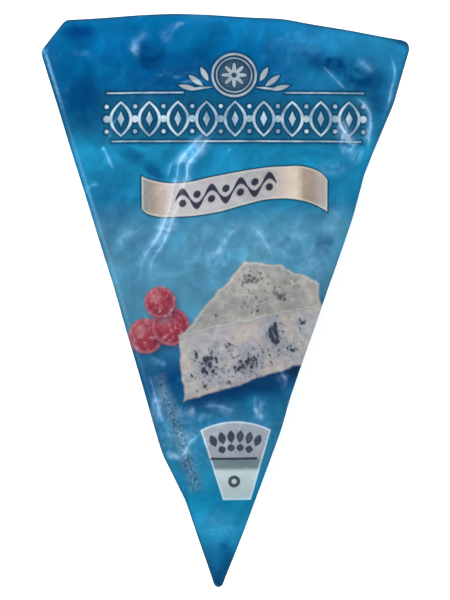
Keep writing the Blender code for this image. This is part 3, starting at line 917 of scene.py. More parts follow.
# How strong these lines are along the pack: y, dark on the left, dark on the right, pale on the left.
RIM_ALONG = np.array([
    (-60.0, 0.8, 0.4, 0.0),
    (-40.0, 0.8, 0.3, 0.0),
    (-20.0, 0.6, 0.4, 0.1),
    (-16.0, 0.6, 0.9, 0.1),
    (-10.0, 0.3, 0.3, 0.2),
    (10.0, 0.2, 0.2, 0.4),
    (30.0, 0.5, 0.4, 0.5),
    (37.0, 0.8, 0.6, 0.1),
    (41.0, 0.9, 0.9, 0.3),
    (44.0, 1.0, 1.0, 0.8),
    (51.0, 1.0, 1.0, 0.9),
    (52.8, 1.0, 1.0, 0.0),
    (60.0, 1.0, 1.0, 0.0),
])

on_left = lid_places[:, 0] < 0
dark_left, dark_right, pale_left = (
    np.interp(lid_places[:, 1], RIM_ALONG[:, 0], column) for column in RIM_ALONG.T[1:]
)
# Painted shade along the cut, and on the left a painted highlight beside it.
rim = smoothstep(1 - from_edge / RIM_WIDTH) * np.where(on_left, dark_left, dark_right)
rim_light = np.exp(-(((from_edge - RIM_LIGHT_AT) / RIM_LIGHT_HALF) ** 2)) * np.where(on_left, pale_left, 0)
keep_on_lid("rim", rim)
keep_on_lid("rim_light", rim_light)
print(f"the dark line is {RIM_WIDTH} mm wide, on {(rim > 0).sum()} points")

# %% [markdown]
# ## A pocket drawn round the wedge
# Under the flange hangs the pocket: film that was drawn hot into a mould and then shrank round the
# cheese. Its section is the same rounded sector at every height, a little smaller further down, so
# it is lofted from rings that match point for point. Drawn film gathers in upright pleats. Noise
# that is stretched along the height gives them: it is read round a circle, so that it meets itself
# where the ring closes.

# %% Upright pleats
PLEAT_HEIGHT = 0.3
PLEAT_WAVELENGTH = 3.4
PLEAT_STRETCH = 26.0  # pleats are that many millimetres long before they wander
PLEAT_SEED = 7.0
PLEAT_MIDDLE = 0.5  # how far the film is drawn in where both noises are 0, as a share of the height
PLEAT_CONTRAST = 1.44
FINE_PLEATS = 2.7  # how much narrower the fine pleats between the others are
FINE_CONTRAST = 0.35


def noise_round(turn, radius, level):
    """Noise along a circle of that radius, at one level."""
    return np.array([noise.noise((radius * math.cos(a), radius * math.sin(a), level)) for a in turn])


def upright_pleats(section, height):
    """How far each point of a section is drawn in, from 0 to PLEAT_HEIGHT."""
    steps = np.linalg.norm(np.roll(section, -1, axis=0) - section, axis=1)
    turn = 2 * math.pi * np.cumsum(steps) / steps.sum()
    radius = steps.sum() / (2 * math.pi * PLEAT_WAVELENGTH)
    level = height / PLEAT_STRETCH + PLEAT_SEED
    folds = abs(noise_round(turn, radius, level))
    fine = noise_round(turn, FINE_PLEATS * radius, 2 * level)
    return PLEAT_HEIGHT * np.clip(PLEAT_MIDDLE - PLEAT_CONTRAST * folds + FINE_CONTRAST * fine, 0, 1)


print(f"about {step_lengths(mouth).sum() / PLEAT_WAVELENGTH:.0f} pleats round the pocket")

# %% [markdown]
# From the mouth down the pocket has three stretches: a small turn out of the flange, the drafted
# wall, and a rounded edge into the floor. Pleats are deepest halfway down the wall, because the seal
# and the floor hold the film smooth.

# %% Levels of the pocket
POCKET_DRAFT = 2.6
POCKET_FLOOR_RADIUS = 4.0
SEAL_THICK = 0.7
MOUTH_BEND = 0.9  # height of the turn from the flange down into the wall
MOUTH_BEND_IN = 0.3  # how far it goes inwards, as a share of its height
BEND_ROWS = 4
WALL_ROWS = 30
FLOOR_ROWS = 8
PLEATS_FADE = 0.6  # below 1, pleats keep their depth until close to the wall's ends


def pocket_levels():
    """Inset, height and share of pleating for each ring from the mouth down to the floor."""
    top = SEAL_TOP - SEAL_THICK
    levels = []
    for k in range(1, BEND_ROWS + 1):
        angle = math.pi / 2 * k / BEND_ROWS
        inset = MOUTH_BEND * math.sin(angle) * MOUTH_BEND_IN
        levels.append((inset, top - MOUTH_BEND * (1 - math.cos(angle)), 0.0))
    start_inset, start_height, _ = levels[-1]
    for k in range(1, WALL_ROWS + 1):
        t = k / WALL_ROWS
        inset = start_inset + (POCKET_DRAFT - start_inset) * t
        height = start_height + (POCKET_FLOOR_RADIUS - start_height) * t
        levels.append((inset, height, math.sin(math.pi * t) ** PLEATS_FADE))
    for k in range(1, FLOOR_ROWS + 1):
        angle = math.pi / 2 * k / FLOOR_ROWS
        inset = POCKET_DRAFT + POCKET_FLOOR_RADIUS * (1 - math.cos(angle))
        levels.append((inset, POCKET_FLOOR_RADIUS * (1 - math.sin(angle)), 0.0))
    return levels


print(f"the wall leans in by {POCKET_DRAFT} mm over {len(pocket_levels())} levels")

# %% [markdown]
# The first rings belong to the flange. Its inner side is the mouth and its outer side the cut edge,
# and a ray outwards from each point of the mouth finds the place where it crosses the cut edge.

# %% Rings from the seam to the floor
TOP_GAP = 0.03  # between the two films of the seal
FLANGE_ROWS = (0.15, 0.4, 0.7, 1.0)  # shares of the way from the cut in to the mouth
PARALLEL = 1e-12  # keeps a ray that runs along a side from a division by 0


def out_to_the_cut(points, outward, loop):
    """Where the ray from each point first meets the closed loop outside it."""
    run = np.roll(loop, -1, axis=0) - loop
    gap = loop[None] - points[:, None]
    spread = outward[:, None, 0] * run[None, :, 1] - outward[:, None, 1] * run[None, :, 0]
    spread = np.where(abs(spread) < PARALLEL, PARALLEL, spread)
    reach = (gap[..., 0] * run[None, :, 1] - gap[..., 1] * run[None, :, 0]) / spread
    share = (gap[..., 0] * outward[:, None, 1] - gap[..., 1] * outward[:, None, 0]) / spread
    reach = np.where((share >= 0) & (share <= 1) & (reach > 0), reach, np.inf).min(1)
    return points + outward * reach[:, None]


seam = out_to_the_cut(mouth, mouth_outward, cut_edge)
seam_height = plain_height(seam)[0] - EDGE_CURL
no_pleat = np.zeros(len(seam))
cut_levels = (LID_THICK + TOP_GAP, SEAL_THICK)  # below the lid's upper side
pocket_rings = [np.column_stack([seam, seam_height - level]) for level in cut_levels]
pocket_pleats = [no_pleat, no_pleat]
for share in FLANGE_ROWS:
    places = seam + (mouth - seam) * share
    pocket_rings.append(np.column_stack([places, plain_height(places)[0] - SEAL_THICK]))
    pocket_pleats.append(no_pleat)
for inset, height, pleating in pocket_levels():
    section, outward = wedge_section(inset)
    drawn_in = upright_pleats(section, height) * pleating
    places = section - outward * drawn_in[:, None]
    pocket_rings.append(np.column_stack([places, np.full(len(places), height)]))
    pocket_pleats.append(drawn_in / PLEAT_HEIGHT)
print(f"{len(pocket_rings)} rings of {len(seam)} points from the seam to the floor")

# %% [markdown]
# The rings are joined by bands of quads and closed by a flat floor. The pocket's film also needs an
# inner side to be a closed mesh. Nobody sees it, so a coarse sheet under the lid is enough.

# %% Close the pocket with its floor and its hidden top
TOP_LOWER = 0.1  # over the cheese, how much further below the lid's underside the sheet lies

count = len(seam)
seam_numbers = np.arange(count)
top_first = len(pocket_rings) * count
top_places = coarse_inside(seam)
top_plain, top_climb = plain_height(top_places)
top_heights = top_plain - LID_THICK - TOP_GAP - (UNDER_CLEARANCE + TOP_LOWER) * top_climb
top_faces = triangles_inside(np.concatenate([seam, top_places]), count)
top_faces = np.where(top_faces < count, top_faces, top_faces - count + top_first)
pocket_points = np.concatenate([*pocket_rings, np.column_stack([top_places, top_heights])])
pocket_polygons = []
for k in range(len(pocket_rings) - 1):
    pocket_polygons += ring_band(seam_numbers + (k + 1) * count, seam_numbers + k * count)
floor_first = (len(pocket_rings) - 1) * count
floor_faces = triangles_inside(pocket_rings[-1][:, :2], count)
pocket_polygons += (floor_faces[:, ::-1] + floor_first).tolist()
pocket_polygons += top_faces.tolist()
pocket_film = mesh_piece("pocket_film", pocket_points, [tuple(map(int, p)) for p in pocket_polygons])
keep_on(pocket_film, "pleat", np.concatenate([*pocket_pleats, np.zeros(len(top_places))]))
print(f"pocket_film has {len(pocket_film.data.polygons)} faces")

# %% [markdown]
# ## Colours
# Colours are written as they look on a screen, from 0 to 255, because that is how they are read
# from a photograph. Blender's shaders want light in linear steps, so one function converts them.
# The studio below lights a flat surface a bit above its own colour, so that function also takes the
# light's strength out again, and a colour comes out in the picture as it was read.

# %% From screen colours to inks
LIGHT_LEVEL = 1.35
GLOSS_VEIL = 0.0018  # the light that the gloss adds everywhere
BRIGHTEST_INK = 0.9


def linear(value):
    """A screen value from 0 to 255 as a linear one from 0 to 1."""
    value = value / 255
    return value / 12.92 if value <= 0.04045 else ((value + 0.055) / 1.055) ** 2.4


def ink(red, green, blue):
    """The ink that comes out in the picture as a screen colour."""
    inks = [(linear(v) - GLOSS_VEIL) / LIGHT_LEVEL for v in (red, green, blue)]
    return (*np.clip(inks, 0, BRIGHTEST_INK).tolist(), 1.0)


print("the ink for a screen blue of 20, 120, 170:", [round(v, 3) for v in ink(20, 120, 170)[:3]])

# %% [markdown]
# ## Drawing with distances
# The print could be an image, but this pack carries none: its motifs are simple shapes, and a shape
# can be written as a distance that is negative inside it. Math nodes work out such distances at
# every point of the film, which keeps edges sharp at any zoom. Wiring hundreds of Math nodes by
# hand is dull, so a small class turns ordinary sums on a field into nodes.

# %% Fields that turn sums into Math nodes
class Field:
    """A number that varies over the print. A sum on it adds a Math node."""

    tree = None

    def __init__(self, socket):
        self.socket = socket

    def __add__(self, other):
        return worked("ADD", self, other)

    def __sub__(self, other):
        return worked("SUBTRACT", self, other)

    def __rsub__(self, other):
        return worked("SUBTRACT", other, self)

    def __mul__(self, other):
        return worked("MULTIPLY", self, other)

    def __truediv__(self, other):
        return worked("DIVIDE", self, other)

    def __abs__(self):
        return worked("ABSOLUTE", self)

    __radd__ = __add__
    __rmul__ = __mul__


def wire(socket, value):
    """Links a field or a colour socket to an input, or sets the input to a constant."""
    value = value.socket if isinstance(value, Field) else value
    if isinstance(value, bpy.types.NodeSocket):
        Field.tree.links.new(value, socket)
    else:
        socket.default_value = value


def worked(operation, *values, clamp=False):
    """A Math node on fields and numbers. With clamp, its result is kept within 0 and 1."""
    node = Field.tree.nodes.new("ShaderNodeMath")
    node.operation = operation
    node.use_clamp = clamp
    for socket, value in zip(node.inputs, values):
        wire(socket, value)
    return Field(node.outputs[0])


def stretched(field, gain, shift):
    """A field times a gain plus a shift, kept within 0 and 1."""
    return worked("MULTIPLY_ADD", field, gain, shift, clamp=True)


def above(field, level):
    """How far a field is above a level, and 0 where it is below."""
    return worked("SUBTRACT", field, level, clamp=True)


def below(field, level):
    """How far a field is below a level, and 0 where it is above."""
    return worked("SUBTRACT", level, field, clamp=True)


def smooth_step(field, low, high):
    """0 below low, 1 above high, and a soft climb between them."""
    share = stretched(field, 1 / (high - low), -low / (high - low))
    return share * share * (3 - 2 * share)


print("helpers for fields:", ", ".join(f.__name__ for f in (worked, stretched, above, below, smooth_step)))

# %% [markdown]
# Now the shapes. Each is a distance in millimetres, negative within the shape. The smaller of two
# distances joins two shapes, and the larger is what they have in common, so a few plain shapes make
# all the motifs. A narrow ramp at distance 0 turns a shape into a mask.

# %% Shapes as distances
PRINT_EDGE = 0.16  # how soft the edge of an ink is


def nearest(*distances):
    """The distance to the nearest of several shapes: all of them together."""
    joined = distances[0]
    for distance in distances[1:]:
        joined = worked("MINIMUM", joined, distance)
    return joined


def overlap(*distances):
    """The shape that several shapes have in common."""
    joined = distances[0]
    for distance in distances[1:]:
        joined = worked("MAXIMUM", joined, distance)
    return joined


def inside(distance, soft=PRINT_EDGE):
    """1 within a shape and 0 outside, with an edge that is soft mm wide."""
    return stretched(distance, -1 / soft, 0.5)


def far_from(x, y, centre):
    """The distance to a point."""
    across, up = x - centre[0], y - centre[1]
    return worked("SQRT", across * across + up * up)


def disc(x, y, centre, radius):
    """A round shape."""
    return far_from(x, y, centre) - radius


def bar(x, y, low, high):
    """A box from its lower left to its upper right corner."""
    across = abs(x - (low[0] + high[0]) / 2) - (high[0] - low[0]) / 2
    up = abs(y - (low[1] + high[1]) / 2) - (high[1] - low[1]) / 2
    return overlap(across, up)


def leaf(x, y, centre, turn, half_length, half_width):
    """A pointed oval, turned by so many degrees."""
    angle = math.radians(turn)
    across, up = x - centre[0], y - centre[1]
    along = (across * math.cos(angle) + up * math.sin(angle)) / half_length
    aside = up * math.cos(angle) - across * math.sin(angle)
    return abs(aside) - half_width * (1 - along * along)


def facet(x, y, corners):
    """A convex outline, from its corners anticlockwise."""
    sides = []
    for (ax, ay), (bx, by) in zip(corners, corners[1:] + corners[:1]):
        length = math.hypot(bx - ax, by - ay)
        out_x, out_y = (by - ay) / length, (ax - bx) / length
        sides.append(x * out_x + y * out_y - (ax * out_x + ay * out_y))
    return overlap(*sides)


print("shapes to draw with:", ", ".join(f.__name__ for f in (disc, bar, leaf, facet)))

# %% [markdown]
# ## Layers of ink
# Inks are laid one over another, as on a printing press, so each layer is one Mix node whose
# factor is the shape's mask. Light that catches in the film doesn't hide the ink below but lifts it,
# and the Mix node's dodge setting does that.

# %% Lay and brighten
def lay(under, mask, colour, strength=1.0):
    """One ink over what is there already, where the mask says so."""
    node = Field.tree.nodes.new("ShaderNodeMix")
    node.data_type = "RGBA"
    wire(node.inputs["Factor"], mask * strength if strength != 1.0 else mask)
    wire(node.inputs[6], under)
    wire(node.inputs[7], colour)
    return node.outputs[2]


def brighten(under, mask, amount):
    """What is there already, lit up but still in its own hue, where the mask says so."""
    node = Field.tree.nodes.new("ShaderNodeMix")
    node.data_type = "RGBA"
    node.blend_type = "DODGE"
    wire(node.inputs["Factor"], mask)
    wire(node.inputs[6], under)
    node.inputs[7].default_value = (amount, amount, amount, 1.0)
    return node.outputs[2]


print("ways to put on an ink:", lay.__name__, "and", brighten.__name__)

# %% [markdown]
# Film and ink are never even. What the mesh knows about its creases comes in through attributes, and
# noise gives all that is too fine for the mesh. Points scattered over the film give more: the
# distance to the nearest one draws dabs, and the area round each makes a pane of its own tone.

# %% Attributes, noise, dabs and panes
def attribute(name):
    """A number that the mesh keeps for each of its points."""
    node = Field.tree.nodes.new("ShaderNodeAttribute")
    node.attribute_name = name
    return Field(node.outputs["Fac"])


def film_noise(place, wavelength, detail=3.0, seed=0.0, distortion=0.0):
    """Noise from 0 to 1 over the film, with a wavelength in mm."""
    node = Field.tree.nodes.new("ShaderNodeTexNoise")
    node.noise_dimensions = "4D"
    wire(node.inputs["Vector"], place)
    node.inputs["W"].default_value = seed
    node.inputs["Scale"].default_value = 1 / (wavelength * MM)
    node.inputs["Detail"].default_value = detail
    node.inputs["Distortion"].default_value = distortion
    return Field(node.outputs["Fac"])


def cells(x, y, size):
    """A texture node that scatters points over the film and parts it into cells round them."""
    joined = Field.tree.nodes.new("ShaderNodeCombineXYZ")
    wire(joined.inputs["X"], x)
    wire(joined.inputs["Y"], y)
    node = Field.tree.nodes.new("ShaderNodeTexVoronoi")
    wire(node.inputs["Vector"], joined.outputs["Vector"])
    node.inputs["Scale"].default_value = 1 / size
    return node


def dabs(x, y, size):
    """Distance to the nearest of many scattered dabs, as a share of how far apart they lie."""
    return Field(cells(x, y, size).outputs["Distance"])


def panes(x, y, size, bend_x, bend_y):
    """A tone from 0 to 1 for each of many panes, whose borders two noises bend."""
    bent = cells(x + size * (bend_x - 0.5), y + size * (bend_y - 0.5), size)
    return Field(bent.outputs["Color"])


print("textures of the film:", ", ".join(f.__name__ for f in (film_noise, dabs, panes)))

# %% [markdown]
# Two more nodes are drawn by hand in Blender's editor and by a list here: a colour ramp for inks
# that change along the pack, and a curve for a line that is drawn freely. Both work from 0 to 1, so
# the helpers below take millimetres and turn them into that range.

# %% Ramps and drawn lines
def gradient(field, stops):
    """Colours along a field. Each stop is a value of the field and its colour, lowest first."""
    low, high = stops[0][0], stops[-1][0]
    node = Field.tree.nodes.new("ShaderNodeValToRGB")
    ramp = node.color_ramp
    for number, (value, colour) in enumerate(stops):
        at = (value - low) / (high - low)
        stop = ramp.elements[number] if number < 2 else ramp.elements.new(at)
        stop.position = at
        stop.color = colour
    wire(node.inputs["Fac"], (field - low) / (high - low))
    return node.outputs["Color"]


def drawn_line(field, points, bottom, top):
    """A smooth line through a few points, as a field whose value is the line's height."""
    low, high = points[0][0], points[-1][0]
    node = Field.tree.nodes.new("ShaderNodeFloatCurve")
    curve = node.mapping.curves[0]
    for number, (value, height) in enumerate(points):
        at = ((value - low) / (high - low), (height - bottom) / (top - bottom))
        if number < 2:
            curve.points[number].location = at
        else:
            curve.points.new(*at)
    node.mapping.update()
    wire(node.inputs["Value"], (field - low) / (high - low))
    return Field(node.outputs["Value"]) * (top - bottom) + bottom


print("helpers that take millimetres:", gradient.__name__, "and", drawn_line.__name__)

# %% [markdown]
# ## The print's ground
# The ground of the print fades along the pack: deep blue at the rind, brighter below the ornament,
# hazy in the middle, where the ramp holds painted sheen as well as ink, dark under the pictured cheese
# and bright again before the tip. A colour ramp over the length has one ink for each turn of that
# fade. Cloudy noise and panes of slightly different tone break it up, as uneven film does, and the
# panes are lit up more under the painted sheen. Over it come the facets' painted light and shade,
# deep patches of painted shade, a few of them darker print, a painted shade at the rind's left
# corner and a dark line of painted shade along the cut.

# %% The fading ground
DEEP_INK = ink(4, 62, 112)
CORNER_SHADE_INK = ink(3, 58, 138)
RIM_SHADE_INK = ink(34, 82, 108)
BRIGHT_CYAN = ink(18, 140, 190)
MOTTLE_CYAN = ink(26, 146, 196)
PALE_CYAN = ink(50, 150, 192)
# The corner below is a painted shade at the rind's left corner.
PALE_FROM, PALE_TO = (2.0, 26.0), (31.0, 46.0)  # over these x and y the rind end turns paler
SHADED_CORNER = (-30.2, 56.2)
SHADED_CORNER_HEIGHT = 1.2  # and twice as wide
PANE_SIZE = 3.2
# The ink at each y along the pack, from the tip to the rind.
GROUND = (
    (-60.0, ink(28, 62, 102)),
    (-55.5, ink(20, 84, 132)),
    (-48.0, ink(40, 144, 188)),
    (-42.0, ink(20, 128, 168)),
    (-32.0, ink(40, 117, 151)),
    (-17.0, ink(22, 79, 122)),
    (-12.0, ink(42, 100, 138)),
    (-4.0, ink(76, 134, 162)),
    (15.0, ink(78, 139, 168)),
    (21.0, ink(30, 120, 161)),
    (31.5, ink(28, 130, 172)),
    (35.0, ink(24, 98, 138)),
    (41.0, ink(12, 84, 132)),
    (47.0, ink(6, 83, 138)),
    (60.0, ink(12, 112, 170)),
)


def ground(place, x, y):
    """The blue of the whole print, with its clouds and panes, and painted light and shade on facets, deep
    patches, a corner and the cut.
    """
    colour = gradient(y, GROUND)
    cloudy = film_noise(place, 11.0, detail=4.0, seed=1.3)
    mottled = film_noise(place, 2.8, seed=5.1)
    paler = smooth_step(x, PALE_FROM[0], PALE_TO[0]) * smooth_step(y, PALE_FROM[1], PALE_TO[1])
    colour = lay(colour, paler, PALE_CYAN, 0.5)
    colour = lay(colour, above(cloudy, 0.5), BRIGHT_CYAN, 1.3)
    colour = lay(colour, below(cloudy, 0.5), DEEP_INK, 1.2)
    colour = lay(colour, above(mottled, 0.52), MOTTLE_CYAN)
    # Painted shade at the rind's left corner.
    corner = disc(x * 0.5, y, (SHADED_CORNER[0] * 0.5, SHADED_CORNER[1]), SHADED_CORNER_HEIGHT)
    colour = lay(colour, inside(corner, 1.4), CORNER_SHADE_INK, 0.9)
    # Panes of their own tone, lit up more under the painted sheen.
    bends = [film_noise(place, 2.4, seed=seed) for seed in (44.0, 45.0)]
    pane = panes(x, y, PANE_SIZE, *bends)
    colour = brighten(colour, above(pane, 0.5) * (0.15 + attribute("painted_sheen")), 1.0)
    # Painted light and shade of the film's facets.
    tone = attribute("facet_light_and_shade")
    colour = brighten(colour, above(tone, 0.5), 0.7)
    colour = lay(colour, below(tone, 0.5), DEEP_INK, 0.8)
    # Deep patches of painted shade, a few of them darker print.
    ragged = film_noise(place, 4.4, detail=5.0, seed=15.0, distortion=1.2)
    colour = lay(colour, attribute("deep") * (0.5 + 0.8 * stretched(ragged, 3.0, -1.0)), DEEP_INK)
    # A dark line of painted shade along the cut.
    return lay(colour, attribute("rim"), RIM_SHADE_INK, 0.9)


print(f"{len(GROUND)} inks along the pack")

# %% [markdown]
# ## The silver ornament
# Across the rind end runs an ornament in silver ink between two fine rules, with a medallion over
# its middle. It is a frieze of pointed ovals with a lozenge in each and beads between them, a
# pattern as old as architecture. One oval is written once, and the fraction of the distance along
# the frieze repeats it.

# %% The frieze and its rules
FRIEZE_LEFT, FRIEZE_RIGHT = -24.7, 28.7
FRIEZE_MIDDLE = 37.7
OVALS = 9
OVAL_HALF_HEIGHT, OVAL_HALF_WIDTH = 3.5, 2.1
STROKE = 0.62
LOZENGE_NARROW = 2.2  # how many times taller than wide a lozenge is
LOZENGE_SLOPE, LOZENGE_HALF = 0.4, 0.62
BEAD_AT, BEAD_RADIUS = 2.6, 0.42  # above and below each gap between two ovals
HEART_RADIUS = 0.72  # of the larger bead right in that gap
END_BEAD = 0.75  # room for a whole bead at each end
RULE_UPPER, RULE_LOWER = 43.0, 32.9
RULE_THICK = 0.28
RULES = (  # left end, right end, lower edge
    (FRIEZE_LEFT, -8.7, RULE_UPPER),
    (12.4, 28.9, RULE_UPPER),
    (-23.7, 28.3, RULE_LOWER),
)


def frieze(x, y):
    """Ovals with a lozenge in each, and beads in the gaps between them."""
    pitch = (FRIEZE_RIGHT - FRIEZE_LEFT) / OVALS
    turn = worked("FRACT", (x - FRIEZE_LEFT) / pitch)
    across = abs(turn - 0.5) * pitch
    up = y - FRIEZE_MIDDLE
    share = up / OVAL_HALF_HEIGHT
    oval = abs(across - OVAL_HALF_WIDTH * (1 - share * share)) - STROKE / 2
    lozenge = (across * LOZENGE_NARROW + abs(up)) * LOZENGE_SLOPE - LOZENGE_HALF
    aside = pitch / 2 - across
    beads = disc(aside, abs(up), (0.0, BEAD_AT), BEAD_RADIUS)
    heart = disc(aside, up, (0.0, 0.0), HEART_RADIUS)
    ends = overlap(x - FRIEZE_RIGHT, FRIEZE_LEFT - x)
    return nearest(overlap(nearest(oval, lozenge), ends), overlap(nearest(beads, heart), ends - END_BEAD))


def rules(x, y):
    """The fine lines above and below the frieze."""
    return nearest(*(bar(x, y, (left, low), (right, low + RULE_THICK)) for left, right, low in RULES))


print(f"{OVALS} ovals over {FRIEZE_RIGHT - FRIEZE_LEFT:.1f} mm, and {len(RULES)} rules")

# %% [markdown]
# The medallion is drawn round its own centre: a rosette whose petals come from a cosine of the
# angle, two rings, and a spray of leaves on each side. The absolute value of the distance across
# mirrors one spray to the other side.

# %% The medallion
MEDALLION = (1.8, 46.9)
MEDALLION_RADIUS = 4.5
PETALS = 8
ROSETTE_RADIUS, PETAL_DEPTH = 1.9, 0.75
ROSETTE_HOLE = 0.55
RING_HALF = 0.22
INNER_RING_GAP, INNER_RING_HALF = 0.85, 0.11
SPRAY = (  # centre, turn, half length, half width of each leaf
    ((6.2, 0.2), 62, 1.7, 0.55),
    ((8.0, -1.2), 38, 1.9, 0.55),
    ((9.6, -2.7), 14, 2.0, 0.50),
    ((7.2, -2.9), -6, 2.6, 0.22),
)


def medallion(x, y):
    """A rosette in two rings, between two sprays of leaves."""
    across, up = x - MEDALLION[0], y - MEDALLION[1]
    out = far_from(x, y, MEDALLION)
    angle = worked("ARCTAN2", up, across)
    petals = out - (ROSETTE_RADIUS + PETAL_DEPTH * worked("COSINE", angle * PETALS))
    rosette = overlap(petals, ROSETTE_HOLE - out)
    ring = abs(out - MEDALLION_RADIUS) - RING_HALF
    inner_ring = abs(out - MEDALLION_RADIUS + INNER_RING_GAP) - INNER_RING_HALF
    aside = abs(across)
    spray = nearest(*(leaf(aside, up, *row) for row in SPRAY))
    return nearest(rosette, ring, inner_ring, spray)


print(f"a medallion {2 * MEDALLION_RADIUS:.0f} mm wide with {PETALS} petals")

# %% [markdown]
# Silver ink is laid over a darker band, inside a thin dark outline that makes it look embossed.
# Noise with strong contrast makes some of it bright, as metal flakes do when they catch the light.

# %% Lay the silver
SILVER = ink(134, 166, 188)
BRIGHT_SILVER = ink(206, 230, 242)
WARM_SILVER = ink(168, 166, 164)
OUTLINE_INK = ink(14, 52, 84)
BAND_INK = ink(30, 92, 118)
MEDALLION_INK = ink(62, 78, 90)
OUTLINE_WIDE = 0.42


def silver_ornament(colour, place, x, y):
    """The frieze, its rules and the medallion in silver, over what is there already."""
    emblem = medallion(x, y)
    shape = nearest(frieze(x, y), rules(x, y), emblem)
    behind = bar(x, y, (FRIEZE_LEFT - 1, RULE_LOWER), (FRIEZE_RIGHT + 1, RULE_UPPER))
    colour = lay(colour, inside(behind, 3.0), BAND_INK, 0.45)
    colour = lay(colour, inside(disc(x, y, MEDALLION, MEDALLION_RADIUS), 0.5), MEDALLION_INK, 0.85)
    colour = lay(colour, inside(shape - OUTLINE_WIDE, 0.5), OUTLINE_INK, 0.8)
    flakes = film_noise(place, 3.4, detail=2.0, seed=8.8)
    silver = lay(SILVER, stretched(flakes, 4.0, -1.6), BRIGHT_SILVER)
    silver = lay(silver, inside(emblem, 0.3), WARM_SILVER, 0.6)
    return lay(colour, inside(shape, 0.2), silver, 0.92)


print("silver in linear light:", [round(v, 2) for v in SILVER[:3]])

# %% [markdown]
# ## The ribbon
# Under the ornament lies a cream ribbon that curls at both ends. Its two long edges are lines
# drawn through a few points, as with a flexible ruler, and a second ramp along it gives the tan
# shade of the folds.

# %% The ribbon's edges and shades
RIBBON_LEFT, RIBBON_RIGHT = -17.4, 21.2
RIBBON_LOW, RIBBON_HIGH = 16.0, 30.0  # both edges lie between these
RIBBON_TOP = (
    (-17.4, 25.8), (-15.1, 24.9), (-10.3, 24.3), (-2.4, 25.7),
    (4.1, 26.9), (12.0, 27.8), (16.8, 27.7), (21.2, 25.1),
)
RIBBON_BOTTOM = (
    (-17.4, 19.1), (-15.1, 17.6), (-9.5, 17.4), (-2.4, 18.2),
    (4.1, 19.9), (8.9, 21.0), (14.5, 21.0), (21.2, 18.5),
)
# The pale stops near -11.6 and -8 mm also hold painted highlight where the long crease crosses the ribbon.
RIBBON_SHADES = (
    (-17.4, ink(152, 158, 158)),
    (-16.6, ink(146, 148, 146)),
    (-15.3, ink(162, 148, 138)),
    (-13.7, ink(186, 170, 160)),
    (-11.6, ink(200, 192, 188)),
    (-8.0, ink(190, 188, 192)),
    (4.0, ink(177, 177, 181)),
    (9.0, ink(178, 175, 176)),
    (12.4, ink(208, 195, 184)),
    (14.6, ink(220, 204, 191)),
    (15.6, ink(198, 180, 162)),
    (16.2, ink(172, 155, 137)),
    (18.0, ink(166, 151, 139)),
    (19.7, ink(185, 174, 168)),
    (21.2, ink(180, 178, 174)),
)
print(f"the ribbon is {RIBBON_RIGHT - RIBBON_LEFT:.1f} mm long, with {len(RIBBON_SHADES)} shades along it")

# %% [markdown]
# A running scroll in dark ink decorates the ribbon. It is a sine wave that thickens at its crests
# and follows the ribbon's own middle. A dot sits in each hollow, now on one side of the vine and
# now on the other, and the sign of the sine says on which.

# %% Ribbon and scroll
RIBBON_INK_DARK = ink(20, 25, 50)
SPECKLE_INK = ink(150, 144, 144)
RIBBON_EDGE_INK = ink(206, 210, 204)
RIBBON_SHADOW_INK = ink(20, 56, 76)
RIBBON_EDGE_AT, RIBBON_EDGE_HALF = 0.22, 0.16
SCROLL_LEFT, SCROLL_RIGHT = -10.4, 10.6
SCROLL_HALF_WAVES = 7
SCROLL_RISE = 1.65
VINE_STEEP = 0.72  # makes up for the vine's slope, where it would look too thick
VINE_HALF, VINE_SWELL = 0.22, 0.30  # at its narrowest, and how much more at its widest
DOT_AT, DOT_RADIUS = -0.75, 0.78


def scroll(x, off_middle):
    """A vine that swings from side to side, with a dot in each of its hollows."""
    pitch = (SCROLL_RIGHT - SCROLL_LEFT) / SCROLL_HALF_WAVES
    phase = (x - SCROLL_LEFT) / pitch
    swing = worked("SINE", phase * math.pi)
    vine = abs(off_middle - SCROLL_RISE * swing) * VINE_STEEP - (VINE_HALF + VINE_SWELL * abs(swing))
    along = (worked("FRACT", phase) - 0.5) * pitch
    dots = disc(along, off_middle * worked("SIGN", swing), (0.0, DOT_AT), DOT_RADIUS)
    ends = overlap(SCROLL_LEFT - x, x - SCROLL_RIGHT)
    return overlap(nearest(vine, dots), ends)


def ribbon(colour, place, x, y):
    """The ribbon over what is there already, and its mask."""
    top = drawn_line(x, RIBBON_TOP, RIBBON_LOW, RIBBON_HIGH)
    bottom = drawn_line(x, RIBBON_BOTTOM, RIBBON_LOW, RIBBON_HIGH)
    shape = overlap(y - top, bottom - y, RIBBON_LEFT - x, x - RIBBON_RIGHT)
    speckle = film_noise(place, 2.2, detail=2.0, seed=3.1)
    shade = lay(gradient(x, RIBBON_SHADES), above(speckle, 0.5), SPECKLE_INK, 0.8)
    edge = inside(abs(shape + RIBBON_EDGE_AT) - RIBBON_EDGE_HALF, 0.2)
    shade = lay(shade, edge, RIBBON_EDGE_INK, 0.6)
    colour = lay(colour, inside(shape - 0.3, 0.3), RIBBON_SHADOW_INK, 0.9)
    colour = lay(colour, inside(shape), shade)
    vine = inside(scroll(x, y - (top + bottom) / 2), 0.22)
    return lay(colour, vine, RIBBON_INK_DARK, 0.93), inside(shape)


print(f"a scroll of {SCROLL_HALF_WAVES} half waves over {SCROLL_RIGHT - SCROLL_LEFT:.1f} mm")

# %% [markdown]
# ## The pictured cheese and berries
# The middle of the print shows what is inside: a cut wedge of blue cheese beside red berries.
# A berry is a disc with pale seeds, a darker side and a printed shadow. Modelled berries would stand
# out of the film, but these are only ink.

